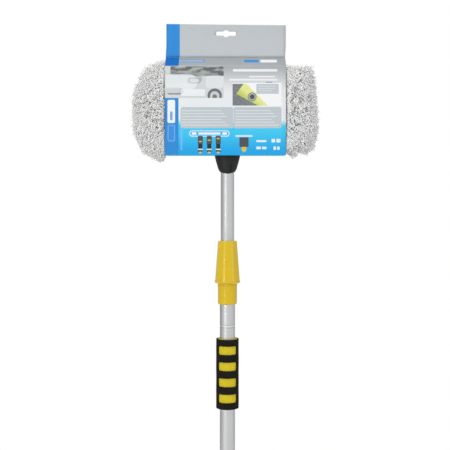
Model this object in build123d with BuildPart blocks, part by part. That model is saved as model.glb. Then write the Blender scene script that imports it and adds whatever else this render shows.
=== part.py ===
from build123d import *
import math
import os
import random

# A telescopic flow-through wash brush in its folded hang card. Millimetres, +Z up.
# The origin is on the handle's axis at the tip of the hose nipple, and the front faces -Y.

# ---------------------------------------------------------------- driving sizes
# Clearances
running_gap = 0.08  # radial, where a tube or spool slides
seat_gap = 0.05  # radial, where a piece is pressed or glued
face_gap = 0.3  # axial, between bodies that move apart

# Tubes
inner_tube_diameter = 22.0
tube_wall = 1.0
tube_slide_gap = 0.5
outer_tube_length = 668.0
pole_showing = 109.5  # inner tube between the nut and the socket when the pole is pushed in
stop_ring_depth = 0.4
stop_ring_width = 3.2
stop_ring_below_collar = 35.4

# Hose nipple
nipple_length = 24.0
nipple_radius = 8.0
nipple_bore = 4.0
nipple_shank = 10.0
nipple_flange = 2.5
washer_thickness = 2.0

# Valve housing, spool and thumb slider
housing_length = 92.0
housing_wall = 5.5
housing_nose_wall = 3.5
housing_blend = 6.0  # the taper ends this far below the middle of the slider's pad
housing_belly_radius = 150.0
tube_seat_depth = 30.0
spigot_length = 18.0
passage_radius = 5.0
passage_length = 5.0
chamber_radius = 9.0
spool_wall = 4.0
slider_travel = 12.0
button_radius = 8.0
button_gap = 0.6
stem_radius = 3.0
ring_height = 1.6  # of every seal ring in the handle
ring_depth = 1.4

# Foam grips
grip_length = 113.5
liner_thickness = 3.9
sleeve_thickness = 2.2
lower_grip_above_housing = 2.0
upper_grip_below_collar = 56.3
window_count = 4
window_height = 13.8
window_pitch = 26.0
window_arc = 114.0
window_corner = 2.2

# Lock collar, collet and nut
collar_wall = 3.25
collar_height = 34.5
collar_seat_depth = 24.0
gland_height = 4.0
neck_wall = 1.5
neck_height = 27.5
collet_seat_depth = 6.0
collet_height = 25.7
collet_slit = 1.0
collet_fingers = 6
nut_height = 69.2
nut_top_wall = 5.0
nut_bottom_wall = 5.25
nut_flats = 8
nut_flats_turn = -16.5
nut_flat_depth = 0.9
thread_rise = 1.5  # how far the nut and collet rise over the nut's half turn

# Tube plug at the inner tube's lower end
plug_guide = 34.0
plug_stem = 20.0
plug_bore = 7.0

# Socket
socket_depth = 40.5  # how far the inner tube goes in
socket_height = 44.5
socket_foot_thickness = 4.0
socket_foot_land = 10.5  # of the foot, each side of the bell, for the screws
socket_foot_inset = 0.8  # from the head's front and back
socket_screw_inset = 6.0
spigot_wall = 2.5
spigot_height = 16.0
water_way = 8.5

# Head shell
head_width = 254.0
head_height = 116.0
head_thickness = 36.0
head_corner = 30.0
head_edge = 8.0
head_wall = 2.5
boss_radius = 4.0
screw_radius = 1.5
screw_head_radius = 3.0
screw_length = 12.0
outlet_radius = 1.5

# Pile cover: a fabric pocket with tufts all over
cover_gap = 0.3
cover_thickness = 1.5
cover_bevel = 6.0
cover_back_bevel = 2.0
tuft_base = 7.5
tuft_tip = 5.5
tuft_face_length = 28.0
tufts_around = 42
face_columns = 13
face_rows = 6
# Reach of the tufts beyond the head's outline, by direction in degrees from +X towards +Z
tuft_reach = {
    0: 20.0,
    45: 35.0,
    90: 26.0,
    135: 31.0,
    180: 31.0,
    225: 27.0,
    262: 25.0,
    278: 16.0,
    315: 24.0,
    360: 20.0,
}

# Hang card: a folded sleeve round the head, with a double header
card_sheet = 0.6
card_width = 194.5
card_left = -100.5
card_depth = 60.0
card_below_head = 16.2
card_panel_height = 143.9
card_slope_height = 18.6
card_header_height = 53.2
card_header_y = -9.0
card_gap = 0.3
hang_slot_width = 32.0
hang_slot_height = 7.0
hang_slot_round = 12.0
hang_slot_corner = 1.0
hang_slot_below_top = 14.8

# ---------------------------------------------------------------- sizes that follow
inner_radius = inner_tube_diameter / 2
outer_bore = inner_radius + tube_slide_gap
outer_radius = outer_bore + tube_wall
seat_radius = outer_radius + seat_gap
throat_radius = inner_radius + running_gap
collar_radius = outer_radius + collar_wall
neck_radius = outer_radius + neck_wall
nut_top_radius = inner_radius + nut_top_wall
nut_bottom_radius = collar_radius + nut_bottom_wall
housing_radius = outer_radius + housing_wall

# Heights, from the nipple's tip upwards
housing_bottom = nipple_length
housing_top = housing_bottom + housing_length
washer_bottom = housing_bottom + nipple_shank
ledge = washer_bottom + washer_thickness
chamber_bottom = ledge + passage_length
tube_bottom = housing_top - tube_seat_depth
tube_top = tube_bottom + outer_tube_length
spigot_top = tube_bottom + spigot_length
collar_bottom = tube_top - collar_seat_depth
collar_top = collar_bottom + collar_height
gland_top = tube_top + gland_height
neck_top = collar_top + neck_height
collet_bottom = neck_top - collet_seat_depth + face_gap
collet_top = collet_bottom + collet_height
nut_bottom = collar_top + face_gap
nut_top = nut_bottom + nut_height
stop_ring = collar_bottom - stop_ring_below_collar
plug_bottom = spigot_top + face_gap
inner_tube_bottom = plug_bottom + plug_guide
socket_bottom = nut_top + pole_showing
inner_tube_top = socket_bottom + socket_depth
inner_tube_length = inner_tube_top - inner_tube_bottom
head_bottom = socket_bottom + socket_height
head_top = head_bottom + head_height
head_middle = (head_bottom + head_top) / 2
card_bottom = head_bottom - card_below_head
card_fold = card_bottom + card_panel_height
card_crease = card_fold + card_slope_height
card_top = card_crease + card_header_height
card_middle = card_left + card_width / 2
pole_travel = stop_ring - stop_ring_width / 2 - inner_tube_bottom - face_gap

os.makedirs("parts", exist_ok=True)


def write(piece, name):
    """Labels a finished piece and writes it as parts/name.step."""
    piece.label = name
    export_step(piece, f"parts/{name}.step")


def seal_ring(inner, outer, bottom, height):
    """A square-section seal ring round the Z axis."""
    with BuildPart() as ring:
        with BuildSketch(Plane.XY.offset(bottom)):
            Circle(outer)
            Circle(inner, mode=Mode.SUBTRACT)
        extrude(amount=height)
    return ring.part


# ---------------------------------------------------------------- hose nipple
with BuildPart() as hose_nipple:
    with BuildSketch(Plane.XZ):
        with BuildLine():
            Polyline(
                (nipple_bore, 0),
                (nipple_radius - 2.4, 0),
                (nipple_radius - 1.7, 1.2),
                (nipple_radius - 1.7, 3.0),
                (nipple_radius - 1.7 - ring_depth, 3.0),
                (nipple_radius - 1.7 - ring_depth, 3.4 + ring_height),
                (nipple_radius - 1.7, 3.4 + ring_height),
                (nipple_radius - 1.7, 6.6),
                (nipple_radius - 0.1, 7.6),
                (nipple_radius - 0.1, 9.6),
                (nipple_radius - 1.3, 10.4),
                (nipple_radius - 1.3, 14.0),
                (nipple_radius, 14.8),
                (nipple_radius, nipple_length - nipple_flange),
                (nipple_radius + 2.5, nipple_length - nipple_flange),
                (nipple_radius + 2.5, nipple_length),
                (nipple_radius, nipple_length),
                (nipple_radius, washer_bottom),
                (nipple_bore, washer_bottom),
                close=True,
            )
        make_face()
    revolve(axis=Axis.Z)
write(hose_nipple.part, "hose_nipple")

hose_ring = nipple_radius - 1.7
write(seal_ring(hose_ring - ring_depth + seat_gap, hose_ring + 0.5, 3.2, ring_height), "hose_seal")

with BuildPart() as nipple_washer:
    with BuildSketch(Plane.XY.offset(washer_bottom)):
        Circle(nipple_radius - seat_gap)
        Circle(passage_radius, mode=Mode.SUBTRACT)
    extrude(amount=washer_thickness)
write(nipple_washer.part, "nipple_washer")

# ---------------------------------------------------------------- valve spool and its rings
# Off at the bottom of its travel, with its nose in the passage; the middle and top stops open it.
spool_radius = chamber_radius - running_gap
spool_bore = spool_radius - spool_wall
spool_bottom = chamber_bottom + 0.5
nose_radius = passage_radius - running_gap
lower_ring = spool_bottom + 7.5
slot_bottom = lower_ring + slider_travel + ring_height + 1.0
stem_centre = slot_bottom + stem_radius + face_gap
slot_top = stem_centre + slider_travel + stem_radius + face_gap
upper_ring = slot_top + 1.0
spool_top = upper_ring + ring_height + 1.5

with BuildPart() as valve_spool:
    with BuildSketch(Plane.XZ):
        with BuildLine():
            Polyline(
                (0, ledge + 0.5),
                (nose_radius - 0.8, ledge + 0.5),
                (nose_radius, ledge + 1.3),
                (nose_radius, ledge + 1.8),
                (nose_radius - ring_depth, ledge + 1.8),
                (nose_radius - ring_depth, ledge + 2.0 + ring_height),
                (nose_radius, ledge + 2.0 + ring_height),
                (nose_radius, spool_bottom + 4.5),
                (spool_radius, lower_ring - 1.2),
                (spool_radius, lower_ring - 0.1),
                (spool_radius - ring_depth, lower_ring - 0.1),
                (spool_radius - ring_depth, lower_ring + ring_height + 0.1),
                (spool_radius, lower_ring + ring_height + 0.1),
                (spool_radius, upper_ring - 0.1),
                (spool_radius - ring_depth, upper_ring - 0.1),
                (spool_radius - ring_depth, upper_ring + ring_height + 0.1),
                (spool_radius, upper_ring + ring_height + 0.1),
                (spool_radius, spool_top),
                (spool_bore, spool_top),
                (spool_bore, lower_ring + 2.5),
                (nipple_bore - 1.5, spool_bottom + 3.5),
                (nipple_bore - 1.5, spool_bottom + 1.0),
                (0, spool_bottom + 1.0),
                close=True,
            )
        make_face()
    revolve(axis=Axis.Z)
    # Cross hole that lets the water into the spool, and the blind hole for the slider's stem
    with BuildSketch(Plane.YZ):
        with Locations((0, spool_bottom + 2.5)):
            Circle(1.5)
    extrude(amount=chamber_radius, both=True, mode=Mode.SUBTRACT)
    with BuildSketch(Plane.XZ.offset(spool_bore + 1.0)):
        with Locations((0, stem_centre)):
            Circle(stem_radius + seat_gap)
    extrude(amount=chamber_radius, mode=Mode.SUBTRACT)
write(valve_spool.part, "valve_spool")

with BuildPart() as spool_seals:
    add(seal_ring(nose_radius - ring_depth + seat_gap, passage_radius - 0.03, ledge + 1.9, ring_height))
    add(seal_ring(spool_radius - ring_depth + seat_gap, chamber_radius - 0.03, lower_ring, ring_height))
    add(seal_ring(spool_radius - ring_depth + seat_gap, chamber_radius - 0.03, upper_ring, ring_height))
write(spool_seals.part, "spool_seals")

# ---------------------------------------------------------------- valve housing
pad_floor = outer_radius + 2.0
pad_face = housing_radius + 1.5
pad_middle = stem_centre + slider_travel / 2
pad_width = 2 * (button_radius + button_gap)
pad_length = pad_width + slider_travel
housing_groove = tube_bottom + spigot_length / 2
housing_ring_radius = outer_bore - 0.1

with BuildPart() as valve_housing:
    with BuildSketch(Plane.XZ):
        with BuildLine():
            side = FilletPolyline(
                (nipple_radius + housing_nose_wall, housing_bottom),
                (housing_radius, pad_middle - housing_blend),
                (housing_radius - 0.6, housing_top),
                radius=housing_belly_radius,
            )
            Polyline(side @ 1, (0, housing_top), (0, housing_bottom), side @ 0)
        make_face()
    revolve(axis=Axis.Z)
    fillet(valve_housing.edges().group_by(Axis.Z)[-1], 1.5)
    chamfer(valve_housing.edges().group_by(Axis.Z)[0], 0.8)
    # Raised oval pad for the thumb slider
    with BuildSketch(Plane.XZ):
        with Locations((0, pad_middle)):
            SlotOverall(pad_length + 5, pad_width + 5, rotation=90)
    extrude(amount=pad_face)
    fillet(valve_housing.faces().sort_by(Axis.Y)[0].edges(), 1.2)
    # Seat of the outer tube round the spigot
    with BuildSketch(Plane.XY.offset(housing_top)):
        Circle(seat_radius)
        Circle(outer_bore - 0.1, mode=Mode.SUBTRACT)
    extrude(amount=-tube_seat_depth, mode=Mode.SUBTRACT)
    with BuildSketch(Plane.XY.offset(housing_top)):
        Circle(seat_radius)
    extrude(amount=-(housing_top - spigot_top), mode=Mode.SUBTRACT)
    # Water way: nipple seat, passage and spool chamber
    with BuildSketch(Plane.XZ):
        with BuildLine():
            Polyline(
                (0, housing_bottom),
                (nipple_radius + seat_gap, housing_bottom),
                (nipple_radius + seat_gap, ledge),
                (passage_radius, ledge),
                (passage_radius, chamber_bottom),
                (chamber_radius, chamber_bottom),
                (chamber_radius, spigot_top),
                (0, spigot_top),
                close=True,
            )
        make_face()
    revolve(axis=Axis.Z, mode=Mode.SUBTRACT)
    # O-ring groove round the spigot
    with BuildSketch(Plane.XY.offset(housing_groove - 0.1)):
        Circle(housing_ring_radius + 1)
        Circle(housing_ring_radius - ring_depth, mode=Mode.SUBTRACT)
    extrude(amount=ring_height + 0.2, mode=Mode.SUBTRACT)
    # Recess under the button and the slot for its stem
    with BuildSketch(Plane.XZ.offset(pad_floor)):
        with Locations((0, pad_middle)):
            SlotOverall(pad_length, pad_width, rotation=90)
    extrude(amount=pad_face, mode=Mode.SUBTRACT)
    with BuildSketch(Plane.XZ):
        with Locations((0, pad_middle)):
            SlotOverall(slot_top - slot_bottom, 2 * (stem_radius + face_gap), rotation=90)
    extrude(amount=pad_face, mode=Mode.SUBTRACT)
write(valve_housing.part, "valve_housing")

write(
    seal_ring(housing_ring_radius - ring_depth + seat_gap, outer_bore - 0.03, housing_groove, ring_height),
    "housing_seal",
)

# ---------------------------------------------------------------- thumb slider
with BuildPart() as thumb_slider:
    with BuildSketch(Plane.XZ.offset(pad_floor + face_gap)):
        with Locations((0, stem_centre)):
            Circle(button_radius)
    extrude(amount=pad_face - pad_floor + 0.9)
    chamfer(thumb_slider.faces().sort_by(Axis.Y)[0].edges(), 1.0)
    # Cross ribs left standing between shallow thumb grooves
    with BuildSketch(Plane.XZ.offset(pad_face + 0.5)):
        with Locations((0, stem_centre)):
            with GridLocations(0, 3.0, 1, 4):
                SlotOverall(1.3 * button_radius, 1.4)
    extrude(amount=2.0, mode=Mode.SUBTRACT)
    with BuildSketch(Plane.XZ.offset(spool_bore + 1.3)):
        with Locations((0, stem_centre)):
            Circle(stem_radius)
    extrude(amount=pad_floor + 0.5 - spool_bore - 1.3)
write(thumb_slider.part, "thumb_slider")

# ---------------------------------------------------------------- tubes
with BuildPart() as outer_tube:
    with BuildSketch(Plane.XZ):
        with BuildLine():
            Polyline(
                (outer_radius, stop_ring - stop_ring_width / 2),
                (outer_radius, tube_bottom),
                (outer_bore, tube_bottom),
                (outer_bore, stop_ring - stop_ring_width / 2),
            )
            ThreePointArc(
                (outer_bore, stop_ring - stop_ring_width / 2),
                (outer_bore - stop_ring_depth, stop_ring),
                (outer_bore, stop_ring + stop_ring_width / 2),
            )
            Polyline(
                (outer_bore, stop_ring + stop_ring_width / 2),
                (outer_bore, tube_top),
                (outer_radius, tube_top),
                (outer_radius, stop_ring + stop_ring_width / 2),
            )
            ThreePointArc(
                (outer_radius, stop_ring + stop_ring_width / 2),
                (outer_radius - stop_ring_depth, stop_ring),
                (outer_radius, stop_ring - stop_ring_width / 2),
            )
        make_face()
    revolve(axis=Axis.Z)
write(outer_tube.part, "outer_tube")

with BuildPart() as inner_tube:
    with BuildSketch(Plane.XY.offset(inner_tube_bottom)):
        Circle(inner_radius)
        Circle(inner_radius - tube_wall, mode=Mode.SUBTRACT)
    extrude(amount=inner_tube_length)
write(inner_tube.part, "inner_tube")

# ---------------------------------------------------------------- tube plug and its ring
plug_radius = outer_bore - running_gap
plug_groove = plug_bottom + 6.0
with BuildPart() as tube_plug:
    with BuildSketch(Plane.XZ):
        with BuildLine():
            Polyline(
                (plug_bore, plug_bottom),
                (plug_radius - 0.6, plug_bottom),
                (plug_radius, plug_bottom + 0.6),
                (plug_radius, plug_groove - 0.2),
                (plug_radius - ring_depth, plug_groove - 0.2),
                (plug_radius - ring_depth, plug_groove + ring_height + 0.2),
                (plug_radius, plug_groove + ring_height + 0.2),
                (plug_radius, plug_bottom + 12),
                (plug_radius - 1.0, plug_bottom + 13),
                (plug_radius - 1.0, inner_tube_bottom - 5),
                (plug_radius, inner_tube_bottom - 4),
                (plug_radius, inner_tube_bottom),
                (inner_radius - tube_wall - seat_gap, inner_tube_bottom),
                (inner_radius - tube_wall - seat_gap, inner_tube_bottom + plug_stem),
                (plug_bore, inner_tube_bottom + plug_stem),
                close=True,
            )
        make_face()
    revolve(axis=Axis.Z)
write(tube_plug.part, "tube_plug")
write(
    seal_ring(plug_radius - ring_depth + seat_gap, outer_bore - 0.04, plug_groove, ring_height),
    "plug_seal",
)

# ---------------------------------------------------------------- foam grips
liner_radius = outer_radius + seat_gap + liner_thickness
sleeve_radius = liner_radius + seat_gap + sleeve_thickness


def grip_liner(bottom):
    """The yellow foam tube that lies on the outer tube."""
    with BuildPart() as liner:
        with BuildSketch(Plane.XY.offset(bottom)):
            Circle(liner_radius)
            Circle(outer_radius + seat_gap, mode=Mode.SUBTRACT)
        extrude(amount=grip_length)
    return liner.part


def grip_sleeve(bottom):
    """The black foam sleeve, with a column of rounded windows at the front and the back."""
    with BuildPart() as window:
        with BuildSketch(Plane.XZ):
            with Locations(((liner_radius + sleeve_radius) / 2, 0)):
                Rectangle(4 * sleeve_thickness, window_height)
        revolve(axis=Axis.Z, revolution_arc=window_arc)
        radial = window.edges().filter_by(lambda edge: edge.length < 4.5 * sleeve_thickness)
        fillet(radial, window_corner)
    front_turn = -90 - window_arc / 2
    with BuildPart() as sleeve:
        with BuildSketch(Plane.XY.offset(bottom)):
            Circle(sleeve_radius)
            Circle(liner_radius + seat_gap, mode=Mode.SUBTRACT)
        extrude(amount=grip_length)
        rims = sleeve.edges().filter_by(GeomType.CIRCLE).group_by(SortBy.RADIUS)[-1]
        fillet(rims, 0.9)
        for side in (0, 180):
            for row in range(window_count):
                height = bottom + grip_length / 2 + (row - (window_count - 1) / 2) * window_pitch
                place = Location((0, 0, height), (0, 0, front_turn + side))
                add(window.part.moved(place), mode=Mode.SUBTRACT)
    return sleeve.part


lower_grip_bottom = housing_top + lower_grip_above_housing
upper_grip_bottom = collar_bottom - upper_grip_below_collar - grip_length
for which, grip_bottom in (("lower", lower_grip_bottom), ("upper", upper_grip_bottom)):
    write(grip_liner(grip_bottom), f"{which}_grip_liner")
    write(grip_sleeve(grip_bottom), f"{which}_grip_sleeve")

# ---------------------------------------------------------------- lock collar and gland seal
bead_middle = collar_top - 3.7
collet_skirt_radius = neck_radius - 1.2
with BuildPart() as lock_collar:
    with BuildSketch(Plane.XZ):
        with BuildLine():
            Polyline(
                (seat_radius, collar_bottom),
                (collar_radius - 0.2, collar_bottom),
                (collar_radius, bead_middle - 0.7),
                (collar_radius + 0.4, bead_middle - 0.3),
                (collar_radius + 0.4, bead_middle + 0.3),
                (collar_radius, bead_middle + 0.7),
                (collar_radius, collar_top),
                (neck_radius, collar_top),
                (neck_radius, neck_top),
                (collet_skirt_radius + running_gap, neck_top),
                (collet_skirt_radius + running_gap, neck_top - collet_seat_depth),
                (throat_radius, neck_top - collet_seat_depth),
                (throat_radius, gland_top),
                (seat_radius, gland_top),
                close=True,
            )
        make_face()
    revolve(axis=Axis.Z)
    skirt = lock_collar.edges().group_by(Axis.Z)[0].sort_by(SortBy.RADIUS)[-1]
    fillet(skirt, 2.5)
write(lock_collar.part, "lock_collar")

with BuildPart() as gland_seal:
    with BuildSketch(Plane.XY.offset(tube_top)):
        Circle(outer_radius)
        Circle(throat_radius, mode=Mode.SUBTRACT)
    extrude(amount=gland_height)
write(gland_seal.part, "gland_seal")

# ---------------------------------------------------------------- split collet
cone_bottom = neck_top + 1.0
cone_foot_radius = neck_radius - 0.4
cone_top_radius = neck_radius - 1.7
with BuildPart() as collet:
    with BuildSketch(Plane.XZ):
        with BuildLine():
            Polyline(
                (throat_radius, collet_bottom),
                (collet_skirt_radius, collet_bottom),
                (collet_skirt_radius, cone_bottom),
                (cone_foot_radius, cone_bottom),
                (cone_top_radius, collet_top),
                (throat_radius, collet_top),
                close=True,
            )
        make_face()
    revolve(axis=Axis.Z)
    with BuildSketch(Plane.XY.offset(collet_top)):
        with PolarLocations(neck_radius, collet_fingers):
            Rectangle(neck_radius, collet_slit)
    extrude(amount=-(collet_height - collet_seat_depth), mode=Mode.SUBTRACT)
write(collet.part, "collet")

# ---------------------------------------------------------------- lock nut
nut_taper = math.degrees(math.atan((nut_bottom_radius - nut_top_radius) / nut_height))
with BuildPart() as lock_nut:
    with BuildSketch(Plane.XZ):
        with BuildLine():
            Polyline(
                (0, nut_bottom),
                (nut_bottom_radius, nut_bottom),
                (nut_bottom_radius, nut_bottom + 3.0),
                (nut_bottom_radius - 0.5, nut_bottom + 4.0),
                (nut_top_radius, nut_top),
                (0, nut_top),
                close=True,
            )
        make_face()
    revolve(axis=Axis.Z)
    fillet(lock_nut.edges().group_by(Axis.Z)[-1], 2.0)
    fillet(lock_nut.edges().group_by(Axis.Z)[0], 2.2)
    # Shallow flats for the hand, above the plain lip
    flat_radius = nut_bottom_radius - 0.5 - nut_flat_depth
    with BuildSketch(Plane.XY.offset(nut_bottom + 4.0)):
        Circle(nut_bottom_radius + 5)
        RegularPolygon(
            flat_radius, nut_flats, major_radius=False, rotation=nut_flats_turn, mode=Mode.SUBTRACT
        )
    extrude(amount=nut_height, taper=-nut_taper, mode=Mode.SUBTRACT)
    # Inside: clear of the neck, a cone over the collet and a clear hole for the inner tube
    with BuildSketch(Plane.XZ):
        with BuildLine():
            Polyline(
                (0, nut_bottom),
                (neck_radius + face_gap, nut_bottom),
                (neck_radius + face_gap, cone_bottom),
                (cone_foot_radius + face_gap, cone_bottom),
                (cone_top_radius + face_gap, collet_top + face_gap),
                (inner_radius + face_gap, collet_top + face_gap),
                (inner_radius + face_gap, nut_top),
                (0, nut_top),
                close=True,
            )
        make_face()
    revolve(axis=Axis.Z, mode=Mode.SUBTRACT)
write(lock_nut.part, "lock_nut")

# ---------------------------------------------------------------- socket
spigot_radius = water_way + spigot_wall
half_depth = head_thickness / 2
foot_bottom = head_bottom - socket_foot_thickness
foot_half_depth = half_depth - socket_foot_inset
# The bell from the lip to the foot: a share of its height, how much wider than the tube it is
# each side, and the share of the way from the tube to the foot's front that it has come forward
bell = (
    (0.0, 0.4, 0.07),
    (0.025, 1.4, 0.21),
    (0.06, 2.1, 0.33),
    (0.12, 3.0, 0.48),
    (0.25, 4.9, 0.67),
    (0.46, 7.4, 0.84),
    (0.70, 10.2, 0.95),
    (1.0, 16.5, 1.0),
)
socket_foot_width = 2 * (inner_radius + bell[-1][1] + socket_foot_land)
socket_screw_places = [(side * (socket_foot_width / 2 - socket_screw_inset), 0) for side in (-1, 1)]
with BuildPart() as socket:
    for share, wider, forward in bell:
        with BuildSketch(Plane.XY.offset(socket_bottom + share * (foot_bottom - socket_bottom))):
            Ellipse(inner_radius + wider, inner_radius + forward * (foot_half_depth - inner_radius))
    loft()
    with BuildSketch(Plane.XY.offset(foot_bottom)):
        SlotOverall(socket_foot_width, 2 * foot_half_depth)
    extrude(amount=socket_foot_thickness)
    with BuildSketch(Plane.XY.offset(head_bottom)):
        Circle(spigot_radius)
    extrude(amount=spigot_height)
    with BuildSketch(Plane.XY.offset(socket_bottom)):
        Circle(inner_radius + seat_gap)
    extrude(amount=socket_depth + washer_thickness, mode=Mode.SUBTRACT)
    with BuildSketch(Plane.XY.offset(socket_bottom)):
        Circle(water_way)
    extrude(amount=socket_height + spigot_height, mode=Mode.SUBTRACT)
    # Moulding slit at the front of the lip
    with BuildSketch(Plane.XZ.offset(inner_radius + 1.0)):
        with Locations((5.0, socket_bottom + 9)):
            SlotOverall(12, 1.4, rotation=90)
    extrude(amount=10, mode=Mode.SUBTRACT)
    with BuildSketch(Plane.XY.offset(foot_bottom)):
        with Locations(*socket_screw_places):
            Circle(screw_radius + seat_gap)
    extrude(amount=socket_foot_thickness, mode=Mode.SUBTRACT)
write(socket.part, "socket")

with BuildPart() as socket_washer:
    with BuildSketch(Plane.XY.offset(inner_tube_top)):
        Circle(inner_radius)
        Circle(water_way, mode=Mode.SUBTRACT)
    extrude(amount=washer_thickness)
write(socket_washer.part, "socket_washer")

with BuildPart() as socket_screws:
    for x, y in socket_screw_places:
        with BuildSketch(Plane.XY.offset(foot_bottom)):
            with Locations((x, y)):
                Circle(screw_radius)
        extrude(amount=screw_length)
        with BuildSketch(Plane.XY.offset(foot_bottom - 2.2)):
            with Locations((x, y)):
                Circle(screw_head_radius)
        extrude(amount=2.2)
write(socket_screws.part, "socket_screws")

# ---------------------------------------------------------------- head shell and back plate
def head_outline(growth):
    """The head's rounded outline, grown or shrunk all round, centred on the head."""
    with Locations((0, head_middle)):
        RectangleRounded(head_width + 2 * growth, head_height + 2 * growth, head_corner + growth)


plate_places = [
    (x, head_middle + z)
    for x in (-head_width / 2 + 22, 0, head_width / 2 - 22)
    for z in (-head_height / 2 + 24, head_height / 2 - 20)
]
with BuildPart() as head_shell:
    with BuildSketch(Plane.XZ.offset(-half_depth)):
        head_outline(0)
    extrude(amount=head_thickness)
    fillet(head_shell.faces().sort_by(Axis.Y)[0].edges(), head_edge)
    fillet(head_shell.faces().sort_by(Axis.Y)[-1].edges(), 1.0)
    # Hollow from the back, with a step that seats the plate
    with BuildSketch(Plane.XZ.offset(half_depth - head_wall)):
        head_outline(-2 * head_wall)
    extrude(amount=-head_thickness, mode=Mode.SUBTRACT)
    with BuildSketch(Plane.XZ.offset(-half_depth)):
        head_outline(-head_wall)
    extrude(amount=head_wall, mode=Mode.SUBTRACT)
    # Bosses for the plate screws, and a rib each side of the water inlet
    with BuildSketch(Plane.XZ.offset(half_depth - head_wall)):
        with Locations(*plate_places):
            Circle(boss_radius)
    extrude(amount=-(head_thickness - 2 * head_wall))
    with BuildSketch(Plane.XZ.offset(half_depth - head_wall)):
        with Locations((-24, head_middle + 8), (24, head_middle + 8)):
            Rectangle(head_wall, head_height - 50)
    extrude(amount=-(head_thickness - 2 * head_wall) / 2)
    with BuildSketch(Plane.XZ.offset(-(half_depth - head_wall))):
        with Locations(*plate_places):
            Circle(screw_radius + seat_gap)
    extrude(amount=screw_length, mode=Mode.SUBTRACT)
    # Bosses and holes for the socket screws, and the hole for the socket's spigot
    with BuildSketch(Plane.XY.offset(head_bottom + head_wall)):
        with Locations(*socket_screw_places):
            Circle(boss_radius)
    extrude(amount=screw_length - socket_foot_thickness)
    with BuildSketch(Plane.XY.offset(head_bottom)):
        with Locations(*socket_screw_places):
            Circle(screw_radius + seat_gap)
    extrude(amount=screw_length - socket_foot_thickness + 0.5, mode=Mode.SUBTRACT)
    with BuildSketch(Plane.XY.offset(head_bottom)):
        Circle(spigot_radius + seat_gap)
    extrude(amount=2 * head_wall + 0.5, mode=Mode.SUBTRACT)
    # Water outlets through the front wall
    with BuildSketch(Plane.XZ.offset(half_depth)):
        with Locations((0, head_middle)):
            with GridLocations(32, 38, 7, 2):
                Circle(outlet_radius)
    extrude(amount=-head_wall, mode=Mode.SUBTRACT)
write(head_shell.part, "head_shell")

with BuildPart() as head_back_plate:
    with BuildSketch(Plane.XZ.offset(-half_depth)):
        head_outline(-head_wall - 0.2)
        with Locations(*plate_places):
            Circle(screw_radius + seat_gap, mode=Mode.SUBTRACT)
    extrude(amount=head_wall)
    with BuildSketch(Plane.XZ.offset(-half_depth)):
        with Locations(*plate_places):
            Circle(screw_head_radius + seat_gap)
    extrude(amount=1.2, mode=Mode.SUBTRACT)
write(head_back_plate.part, "head_back_plate")

with BuildPart() as plate_screws:
    with BuildSketch(Plane.XZ.offset(-half_depth)):
        with Locations(*plate_places):
            Circle(screw_head_radius)
    extrude(amount=1.2)
    with BuildSketch(Plane.XZ.offset(-half_depth)):
        with Locations(*plate_places):
            Circle(screw_radius)
    extrude(amount=screw_length)
write(plate_screws.part, "plate_screws")

# ---------------------------------------------------------------- pile cover
cover_growth = cover_gap + cover_thickness
cover_half_depth = half_depth + cover_growth
# Planes of the card's inner faces, as a normal and an offset in Y and Z
slope_front = Vector(0, -card_slope_height, card_depth / 2 + card_header_y).normalized()
slope_back = Vector(0, card_slope_height, card_depth / 2 - card_header_y).normalized()
ridge = Vector(0, card_header_y, card_crease)
card_faces = [
    (Vector(0, -1, 0), card_depth / 2),
    (Vector(0, 1, 0), card_depth / 2),
    (Vector(0, 0, -1), -card_bottom),
    (slope_front, slope_front.dot(ridge)),
    (slope_back, slope_back.dot(ridge)),
]


def reach_towards(x, z):
    """Tuft reach for a direction in the XZ plane, straight between the stated directions."""
    angle = math.degrees(math.atan2(z, x)) % 360
    stops = sorted(tuft_reach)
    above = next(stop for stop in stops[1:] if angle <= stop)
    below = stops[stops.index(above) - 1]
    share = (angle - below) / (above - below)
    return tuft_reach[below] * (1 - share) + tuft_reach[above] * share


def fitted_length(root, heading, length):
    """The tuft's length, cut back to lie inside the card where the card covers it."""
    tip_x = root.X + heading.X * length
    if max(root.X, tip_x) < card_left - 3 or min(root.X, tip_x) > card_left + card_width + 3:
        return length
    for normal, offset in card_faces:
        rate = normal.dot(heading)
        if rate > 0:
            corner = 0.71 * tuft_tip * math.sqrt(max(0, 1 - rate * rate))
            room = offset - card_sheet - card_gap - corner - normal.dot(root)
            length = min(length, room / rate)
    return length


def tuft(root, heading, length):
    """A four-sided tuft that tapers from its root along its heading."""
    near = (tuft_base - tuft_tip) / 2
    far = tuft_base - near
    base_middle = (Align.CENTER, Align.MIN, Align.CENTER)
    wedge = Wedge(tuft_base, length, tuft_base, near, near, far, far, align=base_middle)
    return Plane(origin=root, z_dir=heading) * Rot(90, 0, 0) * wedge


chance = random.Random(7)


def ruffled(heading):
    """The heading turned a little by chance, as combed pile lies."""
    return (heading + Vector(*(chance.uniform(-0.07, 0.07) for axis in range(3)))).normalized()


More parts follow.
